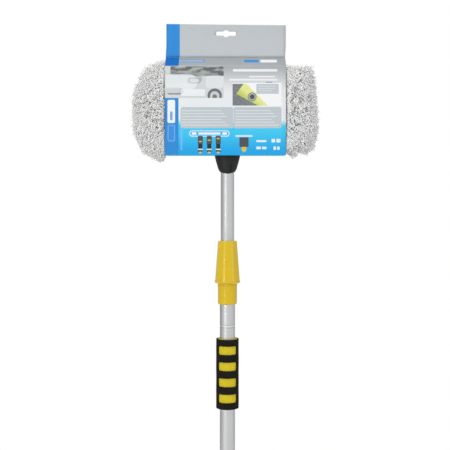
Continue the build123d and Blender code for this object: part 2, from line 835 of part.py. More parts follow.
def edge_tufts():
    """Tufts in rings round the head's edge: across the middle, beside it and on the bevels."""
    outline = RectangleRounded(
        head_width + 2 * cover_growth, head_height + 2 * cover_growth, head_corner + cover_growth
    ).wire()
    middle_ring = [(0.0, 0.0, 0.0, 0.0)]
    side_y = 0.48 * cover_half_depth
    side_rings = [(side * side_y, side * 24.0, 0.0, 0.5) for side in (-1, 1)]
    bevel_y = cover_half_depth - cover_bevel / 2
    bevel_rings = [(side * bevel_y, side * 52.0, cover_bevel / 2, 0.0) for side in (-1, 1)]
    placed = []
    for y, lean, inset, shift in middle_ring + side_rings + bevel_rings:
        for step in range(tufts_around):
            at = (step + shift) / tufts_around
            spot = outline @ at
            along = outline % at
            outward = Vector(along.Y, 0, -along.X)
            if outward.dot(Vector(spot.X, 0, spot.Y)) < 0:
                outward = outward * -1
            root = Vector(spot.X, y, head_middle + spot.Y) - outward * (inset + 0.9)
            if root.Z < head_middle and abs(root.X) < socket_foot_width / 2 + tuft_base:
                continue
            lean_radians = math.radians(lean)
            heading = ruffled(outward * math.cos(lean_radians) + Vector(0, math.sin(lean_radians), 0))
            length = reach_towards(outward.X, outward.Z) * chance.uniform(0.86, 1.0)
            placed.append(tuft(root, heading, fitted_length(root, heading, length)))
    return placed


def face_tufts():
    """Tufts in staggered rows over the front and the back, fanning out towards the edge."""
    placed = []
    for side in (-1, 1):
        for row in range(face_rows):
            for column in range(face_columns - row % 2):
                x = (column - (face_columns - 1 - row % 2) / 2) * (head_width - 30) / (face_columns - 1)
                z = (row - (face_rows - 1) / 2) * (head_height - 30) / (face_rows - 1)
                corner_x = max(0, abs(x) - (head_width / 2 - head_corner))
                corner_z = max(0, abs(z) - (head_height / 2 - head_corner))
                if math.hypot(corner_x, corner_z) > head_corner - 10:
                    continue
                root = Vector(x, side * (cover_half_depth - 0.9), head_middle + z)
                fan = Vector(0.55 * (2 * x / head_width) ** 3, side, 0.45 * (2 * z / head_height) ** 3)
                heading = ruffled(fan.normalized())
                length = tuft_face_length * chance.uniform(0.86, 1.0)
                placed.append(tuft(root, heading, fitted_length(root, heading, length)))
    return placed


with BuildPart() as cover_hollow:
    with BuildSketch(Plane.XZ.offset(-half_depth - cover_gap)):
        head_outline(cover_gap)
    extrude(amount=head_thickness + 2 * cover_gap)
    fillet(cover_hollow.faces().sort_by(Axis.Y)[0].edges(), cover_bevel)
    fillet(cover_hollow.faces().sort_by(Axis.Y)[-1].edges(), 1.0)

tufts = edge_tufts() + face_tufts()
with BuildPart() as wash_pile:
    with BuildSketch(Plane.XZ.offset(-cover_half_depth)):
        head_outline(cover_growth)
    extrude(amount=2 * cover_half_depth)
    chamfer(wash_pile.faces().sort_by(Axis.Y)[0].edges(), cover_bevel)
    chamfer(wash_pile.faces().sort_by(Axis.Y)[-1].edges(), cover_back_bevel)
    add(tufts)
    add(cover_hollow.part, mode=Mode.SUBTRACT)
    # Way in at the bottom for the socket's foot
    with BuildSketch(Plane.XY.offset(head_bottom + 1)):
        Rectangle(socket_foot_width + 3, head_thickness)
    extrude(amount=-cover_growth - 2, mode=Mode.SUBTRACT)
write(wash_pile.part, "wash_pile")

# ---------------------------------------------------------------- hang card
with BuildPart() as retail_card:
    with BuildSketch(Plane.YZ.offset(card_left)):
        with BuildLine():
            Polyline(
                (-card_depth / 2, card_bottom),
                (-card_depth / 2, card_fold),
                (card_header_y, card_crease),
                (card_depth / 2, card_fold),
                (card_depth / 2, card_bottom),
                close=True,
            )
        make_face()
        offset(amount=-card_sheet, mode=Mode.SUBTRACT, kind=Kind.INTERSECTION)
        with Locations((card_header_y, (card_top + card_crease - 2 * card_sheet) / 2)):
            Rectangle(2 * card_sheet, card_top - card_crease + 2 * card_sheet)
    extrude(amount=card_width)
    # Euro slot through the header
    with BuildSketch(Plane.XZ):
        with Locations((card_middle, card_top - hang_slot_below_top)):
            RectangleRounded(hang_slot_width, hang_slot_height, hang_slot_corner)
            Circle(hang_slot_round / 2)
    extrude(amount=card_depth, mode=Mode.SUBTRACT)
    # Hole in the bottom flap for the socket
    with BuildSketch(Plane.XY.offset(card_bottom - 1)):
        Circle(inner_radius + 12)
    extrude(amount=3, mode=Mode.SUBTRACT)
write(retail_card.part, "retail_card")

print("tufts", len(tufts))
print("pole travel", round(pole_travel, 2))
print("stop ring", stop_ring, "plug seal", plug_groove, "head middle", head_middle, "card top", card_top)
print("nut", nut_bottom, nut_top, "collet", collet_bottom, collet_top)
print("stem", stem_centre, "slot", slot_bottom, slot_top, "spool", spool_bottom, spool_top)
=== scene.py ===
import math

import bpy
import numpy as np
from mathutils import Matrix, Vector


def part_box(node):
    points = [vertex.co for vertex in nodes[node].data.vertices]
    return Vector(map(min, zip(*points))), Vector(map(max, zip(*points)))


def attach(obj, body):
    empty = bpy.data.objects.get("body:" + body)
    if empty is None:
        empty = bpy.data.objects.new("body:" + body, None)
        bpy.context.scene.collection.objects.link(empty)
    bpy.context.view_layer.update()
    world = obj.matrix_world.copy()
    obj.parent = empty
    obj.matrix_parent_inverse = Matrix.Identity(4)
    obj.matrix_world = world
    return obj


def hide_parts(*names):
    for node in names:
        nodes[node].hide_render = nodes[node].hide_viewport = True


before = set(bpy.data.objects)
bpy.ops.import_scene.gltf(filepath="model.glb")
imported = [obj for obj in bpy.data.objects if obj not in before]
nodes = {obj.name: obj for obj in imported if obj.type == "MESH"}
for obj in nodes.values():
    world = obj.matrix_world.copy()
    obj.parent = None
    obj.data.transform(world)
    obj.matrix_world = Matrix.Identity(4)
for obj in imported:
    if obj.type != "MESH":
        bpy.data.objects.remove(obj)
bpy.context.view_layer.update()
print("frame loaded:", len(nodes), "nodes")

# Lengths in the dictionaries are millimetres, and meshes are built in millimetres and scaled at the end
mm = 0.001


def boxOf(node):
    low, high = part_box(node)
    return np.array(low) / mm, np.array(high) / mm


def addObject(name, data):
    made = bpy.data.objects.new(name, data)
    bpy.context.scene.collection.objects.link(made)
    return made


# Camera, level with the lock nut
cameraPlace = {"across": -4.0, "height": 860.0, "away": 1210.0, "lens": 58.9}
lensData = bpy.data.cameras.new("camera")
lensData.lens = cameraPlace["lens"]
lensData.clip_start, lensData.clip_end = 0.05, 50
cameraObject = addObject("camera", lensData)
cameraObject.location = (
    cameraPlace["across"] * mm, -cameraPlace["away"] * mm, cameraPlace["height"] * mm
)
cameraObject.rotation_euler = (math.pi / 2, 0, 0)
bpy.context.scene.camera = cameraObject
print("camera placed")


# Helpers for node trees; those that are given a socket find its tree from it
def plug(value, socket):
    # Links a socket to another one or gives it a value; a colour's alpha is added
    if hasattr(value, "is_output"):
        socket.id_data.links.new(value, socket)
    elif isinstance(value, tuple) and socket.type == "RGBA":
        socket.default_value = (*value, 1)
    else:
        socket.default_value = value


def newNode(tree, kind, *values, **settings):
    # A node with its settings made first, and then its first inputs plugged in their order
    made = tree.nodes.new("ShaderNode" + kind)
    for label, value in settings.items():
        setattr(made, label, value)
    for value, socket in zip(values, made.inputs):
        plug(value, socket)
    return made


def treeOf(*values):
    return next(value.id_data for value in values if hasattr(value, "is_output"))


def calc(operation, *values, clamp=False):
    return newNode(treeOf(*values), "Math", *values, operation=operation, use_clamp=clamp).outputs[0]


def plus(first, second):
    return calc("ADD", first, second)


def minus(first, second, clamp=False):
    return calc("SUBTRACT", first, second, clamp=clamp)


def times(first, second):
    return calc("MULTIPLY", first, second)


def above(value, limit):
    return calc("GREATER_THAN", value, limit)


def below(value, limit):
    return calc("LESS_THAN", value, limit)


def mixColour(share, first, second):
    made = newNode(treeOf(share, first, second), "Mix", data_type="RGBA")
    for place, value in ((0, share), (6, first), (7, second)):
        plug(value, made.inputs[place])
    return made.outputs[2]


def fromRange(value, low, high, newLow=0.0, newHigh=1.0, smooth=True):
    kind = "SMOOTHSTEP" if smooth else "LINEAR"
    limits = (low, high, newLow, newHigh)
    return newNode(value.id_data, "MapRange", value, *limits, interpolation_type=kind).outputs[0]


def noise(vector, scale, detail=2.0, roughness=0.5):
    made = newNode(vector.id_data, "TexNoise", vector)
    for label, value in (("Scale", scale), ("Detail", detail), ("Roughness", roughness)):
        plug(value, made.inputs[label])
    return made.outputs["Fac"]


def objectPlace(tree):
    return newNode(tree, "TexCoord").outputs["Object"]


def parts(vector):
    return newNode(vector.id_data, "SeparateXYZ", vector).outputs


def scaledBy(vector, factor):
    made = newNode(vector.id_data, "VectorMath", vector, operation="SCALE")
    plug(factor, made.inputs["Scale"])
    return made.outputs[0]


def stretchedBy(vector, factors, shift=(0, 0, 0)):
    return newNode(vector.id_data, "VectorMath", vector, factors, shift, operation="MULTIPLY_ADD").outputs[0]


def newGroup(name, takes, gives):
    group = bpy.data.node_groups.new(name, "ShaderNodeTree")
    for label, kind, value in takes:
        group.interface.new_socket(label, in_out="INPUT", socket_type=kind).default_value = value
    for label, kind in gives:
        group.interface.new_socket(label, in_out="OUTPUT", socket_type=kind)
    return group, group.nodes.new("NodeGroupInput").outputs, group.nodes.new("NodeGroupOutput").inputs


def useGroup(tree, group, **values):
    made = newNode(tree, "Group", node_tree=group)
    for label, value in values.items():
        plug(value, made.inputs[label])
    return made.outputs


number, colour, vector3 = "NodeSocketFloat", "NodeSocketColor", "NodeSocketVector"

# Fine bumps: two noises of object space, stretched, added up as a height
grainGroup, taken, given = newGroup(
    "fineGrain",
    [("Scale", number, 800.0), ("Stretch", vector3, (1, 1, 1)), ("Coarse", number, 0.3)],
    [("Height", number)],
)
scaled = scaledBy(stretchedBy(objectPlace(grainGroup), taken["Stretch"]), taken["Scale"])
fine, broad = noise(scaled, 1.0, 2.0, 0.6), noise(scaled, 0.13, 1.0)
plug(plus(fine, times(broad, taken["Coarse"])), given["Height"])

# Tone: a colour made lighter and darker by a soft noise of object space
toneGroup, taken, given = newGroup(
    "softTone",
    [("Colour", colour, (1, 1, 1, 1)), ("Scale", number, 20.0), ("Amount", number, 0.1)],
    [("Colour", colour), ("Mask", number)],
)
cloud = noise(scaledBy(objectPlace(toneGroup), taken["Scale"]), 1.0, 3.0, 0.55)
level = plus(times(times(minus(cloud, 0.5), 2.0), taken["Amount"]), 1.0)
plug(scaledBy(taken["Colour"], level), given["Colour"])
plug(cloud, given["Mask"])

# Band: 1 at a height, falling to 0 over the width, for the painted highlights on rims and the painted highlight
# and shade at the tube's rolled ring
bandGroup, taken, given = newGroup(
    "heightBand", [("Height", number, 0.0), ("Width", number, 2.0)], [("Mask", number)]
)
away = calc("ABSOLUTE", minus(times(parts(objectPlace(bandGroup))[2], 1 / mm), taken["Height"]))
plug(minus(1.0, calc("DIVIDE", away, taken["Width"]), clamp=True), given["Mask"])


def softTone(tree, shown, scale, amount):
    return useGroup(tree, toneGroup, Colour=shown, Scale=scale, Amount=amount)


def atHeight(tree, height, width):
    return useGroup(tree, bandGroup, Height=height, Width=width)["Mask"]


def newMaterial(name, **settings):
    made = bpy.data.materials.new(name)
    made.use_nodes = True
    sockets = made.node_tree.nodes["Principled BSDF"].inputs
    for label, value in settings.items():
        plug(value, sockets[label.replace("_", " ")])
    return made, made.node_tree, sockets


def addBump(sockets, height, depth):
    made = newNode(height.id_data, "Bump")
    plug(depth * mm, made.inputs["Distance"])
    plug(height, made.inputs["Height"])
    plug(made.outputs[0], sockets["Normal"])


def addGrain(tree, sockets, depth, **values):
    addBump(sockets, useGroup(tree, grainGroup, **values)["Height"], depth)


def unevenRough(sockets, mask, rough):
    plug(fromRange(mask, 0.3, 0.7, rough - 0.05, rough + 0.05), sockets["Roughness"])


# Materials
def mouldedPlastic(name, look):
    made, tree, sockets = newMaterial(
        name, Specular_IOR_Level=look["specular"], Coat_Weight=look.get("coat", 0.0), Coat_Roughness=0.12
    )
    tone = softTone(tree, look["colour"], look["toneScale"], look["tone"])
    shown = tone["Colour"]
    # paler bands round the rims: painted highlights on the lips
    for place, width, share in look.get("rims", ()):
        shown = mixColour(times(atHeight(tree, place, width), share), shown, look["rimHighlight"])
    height = useGroup(tree, grainGroup, Scale=look["grain"], Coarse=0.5)["Height"]
    if "flats" in look:
        # the edges between the flats are painted paler as a painted highlight, and cut back by a bump, by the
        # angle to the nearest edge
        x, y, z = parts(objectPlace(tree))
        turned = plus(calc("ARCTAN2", x, times(y, -1.0)), math.radians(-look["flatsTurn"]))
        nearest = calc("ABSOLUTE", calc("WRAP", turned, math.pi / look["flats"], -math.pi / look["flats"]))
        near, far = (math.radians(angle) for angle in look["highlightReach"])
        wearAndHighlight = fromRange(nearest, near, far, look["highlightShare"], 0.0)
        wearAndHighlight = times(wearAndHighlight, above(z, look["flatsFrom"] * mm))
        shown = mixColour(wearAndHighlight, shown, look["highlightColour"])
        height = plus(height, times(wearAndHighlight, -look["edgeCut"] / look["depth"] / look["highlightShare"]))
    plug(shown, sockets["Base Color"])
    unevenRough(sockets, tone["Mask"], look["rough"])
    addBump(sockets, height, look["depth"])
    return made


nutLow, nutHigh = boxOf("lock_nut")
collarHigh = boxOf("lock_collar")[1]
yellowLook = {
    "colour": (0.69, 0.475, 0.004), "specular": 0.22, "coat": 0.5, "rough": 0.3,
    "tone": 0.025, "toneScale": 26.0, "grain": 1500.0, "depth": 0.02,
    "flats": 8, "flatsTurn": -16.5, "flatsFrom": nutLow[2],
    # paler edges of the flats: painted highlight
    "highlightShare": 0.3, "highlightReach": (1.5, 8.0), "highlightColour": (0.90, 0.66, 0.12), "edgeCut": 0.35,
    # height, width and share of each rim's painted highlight
    "rims": [(nutLow[2] + 0.6, 1.2, 0.5), (nutHigh[2] - 0.6, 1.4, 0.4), (collarHigh[2] - 3.7, 0.8, 0.35)],
    "rimHighlight": (0.86, 0.62, 0.06),
}
blackLook = {
    "colour": (0.013, 0.013, 0.0135), "specular": 0.3, "rough": 0.42,
    "tone": 0.12, "toneScale": 40.0, "grain": 1300.0, "depth": 0.03,
    # paler band at the socket's lip: painted highlight
    "rims": [(boxOf("socket")[0][2] + 0.4, 1.0, 0.35)], "rimHighlight": (0.05, 0.05, 0.05),
}
whiteLook = {
    "colour": (0.74, 0.73, 0.69), "specular": 0.5, "rough": 0.4,
    "tone": 0.04, "toneScale": 30.0, "grain": 1500.0, "depth": 0.015,
}
yellowPlastic = mouldedPlastic("yellowPlastic", yellowLook)
blackPlastic = mouldedPlastic("blackPlastic", blackLook)
whitePlastic = mouldedPlastic("whitePlastic", whiteLook)


def drawnMetal(name, look):
    made, tree, sockets = newMaterial(name, Metallic=1.0)
    tone = softTone(tree, look["colour"], look["toneScale"], look["tone"])
    lines = useGroup(tree, grainGroup, Scale=look["lines"], Stretch=look["stretch"], Coarse=0.6)["Height"]
    wearAndHighlight = fromRange(tone["Mask"], 0.35, 0.65, look["rough"] - 0.04, look["rough"] + 0.05)
    for place, width, share in look.get("rubs", ()):
        wearAndHighlight = plus(wearAndHighlight, times(atHeight(tree, place, width), times(lines, share)))
    plug(plus(wearAndHighlight, fromRange(lines, 0.3, 1.1, -0.05, 0.06)), sockets["Roughness"])
    dull = mixColour(fromRange(lines, 0.5, 1.2, 0.0, 0.25), tone["Colour"], look["streakColour"])
    # dark and white bands at the rolled ring: painted shade and painted highlight
    for place, width, share, tint in look.get("rings", ()):
        dull = mixColour(times(atHeight(tree, place, width), share), dull, tint)
    plug(dull, sockets["Base Color"])
    addBump(sockets, lines, look["depth"])
    return made


ringHeight = 694.6  # the tube's rolled ring
tubeLook = {
    "colour": (0.70, 0.705, 0.71), "streakColour": (0.56, 0.565, 0.57), "tone": 0.05, "toneScale": 14.0,
    "rough": 0.36, "lines": 2600.0, "stretch": (1.0, 1.0, 0.012), "depth": 0.006,
    "rubs": [(nutHigh[2] + 6.0, 22.0, 0.12)],
    # at the rolled ring: a dark band below, a white band on it and a dark band above, as painted shade and
    # painted highlight
    "rings": [
        (ringHeight - 2.2, 1.2, 0.7, (0.35, 0.35, 0.36)), (ringHeight, 1.6, 0.9, (0.95, 0.95, 0.95)),
        (ringHeight + 2.2, 1.2, 0.5, (0.42, 0.42, 0.43)),
    ],
}
steelLook = {
    "colour": (0.6, 0.6, 0.61), "streakColour": (0.45, 0.45, 0.46), "tone": 0.05, "toneScale": 60.0,
    "rough": 0.3, "lines": 2000.0, "stretch": (1.0, 0.05, 1.0), "depth": 0.005,
}
tubeMetal = drawnMetal("tubeMetal", tubeLook)
screwSteel = drawnMetal("screwSteel", steelLook)


def mattStuff(name, look):
    # One toned colour with fine bumps: rubber, board, felt
    made, tree, sockets = newMaterial(name, Roughness=look["rough"], Specular_IOR_Level=look["specular"])
    plug(softTone(tree, look["colour"], look["toneScale"], look["tone"])["Colour"], sockets["Base Color"])
    if "grain" in look:
        addGrain(tree, sockets, look["depth"], **look["grain"])
    return made


sealLook = {"colour": (0.014, 0.014, 0.015), "rough": 0.6, "specular": 0.5, "tone": 0.2, "toneScale": 60.0}
sealRubber = mattStuff("sealRubber", sealLook)


def cellFoam(name, look):
    # Foam: voronoi cells, deep in their middles and standing up towards their borders, with painted shade
    # darkening the middles
    made, tree, sockets = newMaterial(name, Roughness=look["rough"], Specular_IOR_Level=0.1)
    cells = newNode(tree, "TexVoronoi", objectPlace(tree))
    plug(look["cells"], cells.inputs["Scale"])
    pores = fromRange(cells.outputs["Distance"], 0.05, 0.5)
    tone = softTone(tree, look["colour"], look["toneScale"], look["tone"])
    plug(mixColour(pores, look["poreShade"], tone["Colour"]), sockets["Base Color"])
    addBump(sockets, pores, look["depth"])
    return made


blackFoamLook = {
    "colour": (0.014, 0.0135, 0.011), "poreShade": (0.005, 0.005, 0.0045), "rough": 0.95,
    "cells": 1100.0, "tone": 0.2, "toneScale": 60.0, "depth": 0.12,
}
yellowFoamLook = {
    "colour": (0.70, 0.555, 0.026), "poreShade": (0.53, 0.39, 0.014), "rough": 0.8,
    "cells": 1000.0, "tone": 0.08, "toneScale": 50.0, "depth": 0.1,
}
blackFoam = cellFoam("blackFoam", blackFoamLook)
yellowFoam = cellFoam("yellowFoam", yellowFoamLook)
print("plastics, metals and foams made")


# Helpers for meshes
fullTurn = np.linspace(0, 2 * math.pi, 96, endpoint=False)


def gridQuads(rows, columns, closeRows=False, closeColumns=False):
    # Quads of a grid whose points run row by row, joined round where a direction is closed
    r = np.arange(rows if closeRows else rows - 1)
    c = np.arange(columns if closeColumns else columns - 1)
    r, c = np.meshgrid(r, c, indexing="ij")
    r1, c1 = (r + 1) % rows, (c + 1) % columns
    corners = ((r, c), (r, c1), (r1, c1), (r1, c))
    return np.stack([row * columns + column for row, column in corners], -1).reshape(-1, 4)


def makePiece(name, points, quads, materials):
    mesh = bpy.data.meshes.new(name)
    points = np.ascontiguousarray(points, dtype=np.float32).reshape(-1, 3) * mm
    quads = np.ascontiguousarray(quads, dtype=np.int32)
    mesh.vertices.add(len(points))
    mesh.vertices.foreach_set("co", points.ravel())
    mesh.loops.add(quads.size)
    mesh.loops.foreach_set("vertex_index", quads.ravel())
    mesh.polygons.add(len(quads))
    mesh.polygons.foreach_set("loop_start", np.arange(0, quads.size, 4, dtype=np.int32))
    mesh.polygons.foreach_set("use_smooth", np.full(len(quads), True))
    mesh.update(calc_edges=True)
    for made in materials:
        mesh.materials.append(made)
    return addObject(name, mesh)


def usedOnly(points, quads):
    # Points that no quad uses are dropped
    kept, renumbered = np.unique(quads, return_inverse=True)
    return points[kept], renumbered.reshape(quads.shape)


def addModifier(piece, kind, **settings):
    made = piece.modifiers.new(kind.lower(), kind)
    for label, value in settings.items():
        setattr(made, label, value)


def thicken(piece, wall, **settings):
    # A wall is added inwards from the shown surface
    addModifier(piece, "SOLIDIFY", thickness=wall * mm, offset=-1, use_even_offset=True, **settings)


def unit(vectors):
    return vectors / np.maximum(np.linalg.norm(vectors, axis=-1, keepdims=True), 1e-6)


def roundPole(radius, turn, height):
    # Points at a radius, a turn and a height, whichever of them are arrays
    return np.stack(np.broadcast_arrays(radius * np.cos(turn), radius * np.sin(turn), height), -1)


def seat(piece, slot, body, *standsFor):
    # The nodes that a piece stands for, and the body it rides on; the slot is not used
    for node in standsFor:
        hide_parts(node)
    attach(piece, body)


# Finishes of the CAD's own nodes
finishes = {
    yellowPlastic: "hose_nipple valve_housing lock_collar lock_nut",
    blackPlastic: "thumb_slider socket head_shell head_back_plate tube_plug",
    whitePlastic: "collet valve_spool",
    tubeMetal: "outer_tube inner_tube",
    sealRubber: "plug_seal gland_seal housing_seal spool_seals nipple_washer hose_seal socket_washer",
    screwSteel: "plate_screws socket_screws",
}
for finish, names in finishes.items():
    for name in names.split():
        node = nodes[name]
        node.data.materials.clear()
        node.data.materials.append(finish)
        node.data.polygons.foreach_set("use_smooth", np.full(len(node.data.polygons), True))
        addModifier(node, "WELD", merge_threshold=0.003 * mm)
        addModifier(node, "EDGE_SPLIT", split_angle=math.radians(28))
        addModifier(node, "WEIGHTED_NORMAL", mode="FACE_AREA", weight=80, thresh=0.05)
    print(finish.name, "on", names)

# Foam grips
gripLook = {
    "windows": 4, "windowHeight": 13.8, "windowPitch": 26.0, "windowArc": 112.0, "corner": 3.2,
    "cell": 2.2, "sleeveWall": 2.05, "lip": 0.5, "softness": 0.12, "swells": (9.0, 5.3),
    "linerWall": 3.88, "linerEdge": 0.7, "linerInset": 0.02, "boreInset": 0.3,
}


def splitRun(low, high, near, step):
    # Stops from low to high: three close ones within near of each end, and even ones between
    ends = np.array([0.0, 0.34, 0.67, 1.0]) * near
    inner = np.linspace(low + near, high - near, max(2, int(round((high - low - 2 * near) / step)) + 1))
    return np.concatenate((low + ends[:-1], inner, high - ends[:-1][::-1]))[:-1]


def makeSleeve(name, node):
    # A tube unrolled as a grid of arc length and height; cells inside the windows are left out, and the
    # grid's points on a window's border slide onto its rounded corners
    look = gripLook
    low, high = boxOf(node)
    radius, corner = high[0], look["corner"]
    halfArc = radius * math.radians(look["windowArc"]) / 2
    halfWay = radius * math.pi
    borders = (-halfArc, halfArc, halfWay - halfArc, halfWay + halfArc, 2 * halfWay - halfArc)
    arcs = np.concatenate([
        splitRun(start, end, corner, look["cell"]) for start, end in zip(borders[:-1], borders[1:])
    ])
    middle, half = (low[2] + high[2]) / 2, look["windowHeight"] / 2
    centres = middle + (np.arange(look["windows"]) - (look["windows"] - 1) / 2) * look["windowPitch"]
    edges = np.sort(np.concatenate((centres - half, centres + half, [low[2], high[2]])))
    heights = np.concatenate([
        splitRun(a, b, min(corner, (b - a) / 3), look["cell"]) for a, b in zip(edges[:-1], edges[1:])
    ] + [[high[2]]])
    arc, height = np.meshgrid(arcs, heights)
    movedArc, movedHeight = arc.copy(), height.copy()
    cellArc = np.append(arcs, borders[-1])
    cellArc = (cellArc[:-1] + cellArc[1:]) / 2
    cellHeight = (heights[:-1] + heights[1:]) / 2
    keep = np.ones((len(heights) - 1, len(arcs)), bool)
    for column in (0.0, halfWay):
        for centre in centres:
            inRows, inColumns = np.abs(cellHeight - centre) < half, np.abs(cellArc - column) < halfArc
            keep &= ~(inRows[:, None] & inColumns[None, :])
            inU, inV = halfArc - np.abs(arc - column), half - np.abs(height - centre)
            for onEdge, other, alongU in ((inU, inV, False), (inV, inU, True)):
                hit = (np.abs(onEdge) < 1e-6) & (other > -1e-6) & (other < corner)
                turn = (1 - other[hit] / corner) * math.pi / 4
                across, along = corner * (1 - np.cos(turn)), corner * (1 - np.sin(turn))
                backU, backV = (along, across) if alongU else (across, along)
                movedArc[hit] = column + np.sign(arc[hit] - column) * (halfArc - backU)
                movedHeight[hit] = centre + np.sign(height[hit] - centre) * (half - backV)
    angle = movedArc / radius - math.pi / 2
    long, short = look["swells"]
    swell = (np.sin(movedHeight / long + 2 * angle) + np.sin(movedHeight / short - 3 * angle)) / 2
    points = roundPole(radius + look["softness"] * (swell - 1), angle, movedHeight).reshape(-1, 3)
    quads = gridQuads(len(heights), len(arcs), closeColumns=True)[keep.ravel()]
    piece = makePiece(name, *usedOnly(points, quads), [blackFoam])
    thicken(piece, look["sleeveWall"])
    addModifier(
        piece, "BEVEL", width=look["lip"] * mm, segments=3, limit_method="ANGLE",
        angle_limit=math.radians(50), harden_normals=False,
    )
    seat(piece, "black_foam", "handle", node)


def makeLiner(name, node):
    # A foam tube turned round the Z axis: a quarter round at each end, and a straight bore
    look = gripLook
    low, high = boxOf(node)
    outer, inner = high[0] - look["linerInset"], high[0] - look["linerWall"]
    edge, tall = look["linerEdge"], high[2] - low[2]
    share = np.linspace(0, 1, 40)
    rounding = np.minimum(1, np.minimum(share, 1 - share) * tall / edge)
    outside = np.stack((outer + np.sqrt(1 - (1 - rounding) ** 2) * edge - edge, low[2] + share * tall), -1)
    bore = [(inner, high[2] - look["boreInset"]), (inner, low[2] + look["boreInset"])]
    radius, height = np.concatenate((outside, bore)).T
    turn = fullTurn[:, None]
    quads = gridQuads(len(turn), len(radius), closeRows=True, closeColumns=True)
    piece = makePiece(name, roundPole(radius, turn, height), quads, [yellowFoam])
    seat(piece, "yellow_foam", "handle", node)


for which in ("lower", "upper"):
    makeSleeve(which + "GripSleeve", which + "_grip_sleeve")
    makeLiner(which + "GripLiner", which + "_grip_liner")
print("grips made")

# Socket; bell: share of the way from lip to foot, how much wider than the tube it is each side, and
# share of the way to the foot's front
socketLook = {
    "bell": (
        (0.0, 0.4, 0.05), (0.02, 0.9, 0.14), (0.04, 1.4, 0.21), (0.074, 2.1, 0.32), (0.114, 2.8, 0.43),
        (0.156, 3.5, 0.53), (0.195, 4.1, 0.6), (0.277, 5.0, 0.69), (0.358, 6.0, 0.77), (0.52, 7.8, 0.87),
        (0.68, 9.4, 0.945), (1.0, 12.4, 1.0),
    ),
    "foot": 4.0, "edge": 0.5, "spigot": 11.0, "waterWay": 8.5, "seatDeep": 42.0, "clearance": 0.06,
    "lipRound": 0.15, "lipLift": 3.2, "lipFade": 12.0,
    "slitTurn": 21.0, "slitWide": 1.4, "slitRadius": 14.0, "slitDeep": 1.3, "slitFrom": 3.0, "slitTo": 15.0,
}


def makeSocket(name, node):
    # Rings round the pole, each a radius for every angle, from the lip up the bell as ovals, over the
    # foot's rounded slab and the spigot, and back down the bore: one skin closed both ways
    look = socketLook
    low, high = boxOf(node)
    tube, footTop = boxOf("inner_tube")[1][0], boxOf("head_shell")[0][2]
    footLow, edge, bore = footTop - look["foot"], look["edge"], tube + look["clearance"]
    slit, near = math.radians(look["slitTurn"] + 270), look["slitWide"] / 2 / look["slitRadius"]
    turn = np.unique(np.concatenate((fullTurn, slit + np.array((-1.5, -1, 0, 1, 1.5)) * near)))
    cos, sin = np.cos(turn), np.sin(turn)
    stops, wider, forward = np.array(look["bell"]).T
    rings = []
    for share in np.concatenate((np.linspace(0, 0.05, 6), np.linspace(0.08, 0.5, 18), np.linspace(0.55, 1, 8))):
        a = tube + np.interp(share, stops, wider)
        b = tube + np.interp(share, stops, forward) * (high[1] - tube)
        rise = share * (footLow - low[2])
        cut = (look["slitFrom"] < rise < look["slitTo"]) * (np.abs(turn - slit) < near * 1.1)
        rings.append((a * b / np.hypot(b * cos, a * sin) - look["slitDeep"] * cut, low[2] + rise))

    def slab(inset):
        # straight sides and round ends, seen from the middle
        radius, reach = high[1] - inset, high[0] - high[1]
        ends = reach * np.abs(cos) + np.sqrt(np.maximum(radius ** 2 - (reach * sin) ** 2, 0))
        straight = radius / np.maximum(np.abs(sin), 1e-6)
        return np.where(straight * np.abs(cos) <= reach, straight, ends)

    seatTop = low[2] + look["seatDeep"]
    rings += [
        (slab(edge), footLow), (slab(0), footLow + edge), (slab(0), footTop - edge), (slab(edge), footTop),
        (look["spigot"], footTop), (look["spigot"], high[2] - edge), (look["spigot"] - edge, high[2]),
        (look["waterWay"], high[2]), (look["waterWay"], seatTop),
        (bore, seatTop), (bore, low[2] + look["lipRound"]),
    ]
    points = np.array([roundPole(radius, turn, z) for radius, z in rings])
    # the lip is higher at the sides than in front, by a cosine squared that fades out up the bell
    fade = np.clip(1 - (points[..., 2] - low[2]) / look["lipFade"], 0, 1) ** 2
    points[..., 2] += look["lipLift"] * cos ** 2 * fade
    quads = gridQuads(len(rings), len(turn), closeRows=True, closeColumns=True)
    piece = makePiece(name, points, quads[:, ::-1], [blackPlastic])
    addModifier(piece, "EDGE_SPLIT", split_angle=math.radians(40))
    seat(piece, "black_plastic", "head", node)


makeSocket("socketBell", "socket")
print("socket made")

# Hang card
cardLow, cardHigh = boxOf("retail_card")
cardLook = {
    "board": 0.6, "foldHeight": 143.2, "creaseHeight": 161.3, "foldRadius": 1.3, "pathStep": 2.6, "columns": 98,
    "backRise": 4.6, "bow": 1.0, "bowAtSides": 0.5, "wave": 0.35, "waveAcross": 31.0, "waveUp": 90.0,
    "flapHole": 23.0, "flapReach": 20.0, "headerY": -9.0, "headerLap": 1.5, "headerGap": 0.6,
    "headerShift": 1.0, "headerFall": 2.2, "headerBend": 0.55, "headerWave": 1.3,
    "slotWide": 16.0, "slotTall": 3.6, "slotRound": 6.0, "slotBelowTop": 14.8,
}
cardWide = cardHigh[0] - cardLow[0]
cardMiddle = (cardHigh[0] + cardLow[0]) / 2


def roundedPath(corners, radius, step):
    # A polyline whose inner corners are arcs, with stops at about the given step along its straights
    corners = [np.array(corner, float) for corner in corners]
    stops = [corners[0]]
    for before, here, after in zip(corners[:-2], corners[1:-1], corners[2:]):
        back, on = unit(before - here), unit(after - here)
        half = math.acos(np.clip(back @ on, -1, 1)) / 2
        reach, turn = radius / math.tan(half), math.pi - 2 * half
        hub = here + unit(back + on) * radius / math.sin(half)
        first, last = here + back * reach - hub, here + on * reach - hub
        for share in np.linspace(0, 1, 5):
            mixed = first * math.sin((1 - share) * turn) + last * math.sin(share * turn)
            stops.append(hub + mixed / math.sin(turn))
    stops.append(corners[-1])
    path = [stops[0]]
    for first, last in zip(stops[:-1], stops[1:]):
        count = max(1, int(round(np.linalg.norm(last - first) / step)))
        path += [first + (last - first) * share for share in np.linspace(0, 1, count + 1)[1:]]
    return np.array(path)


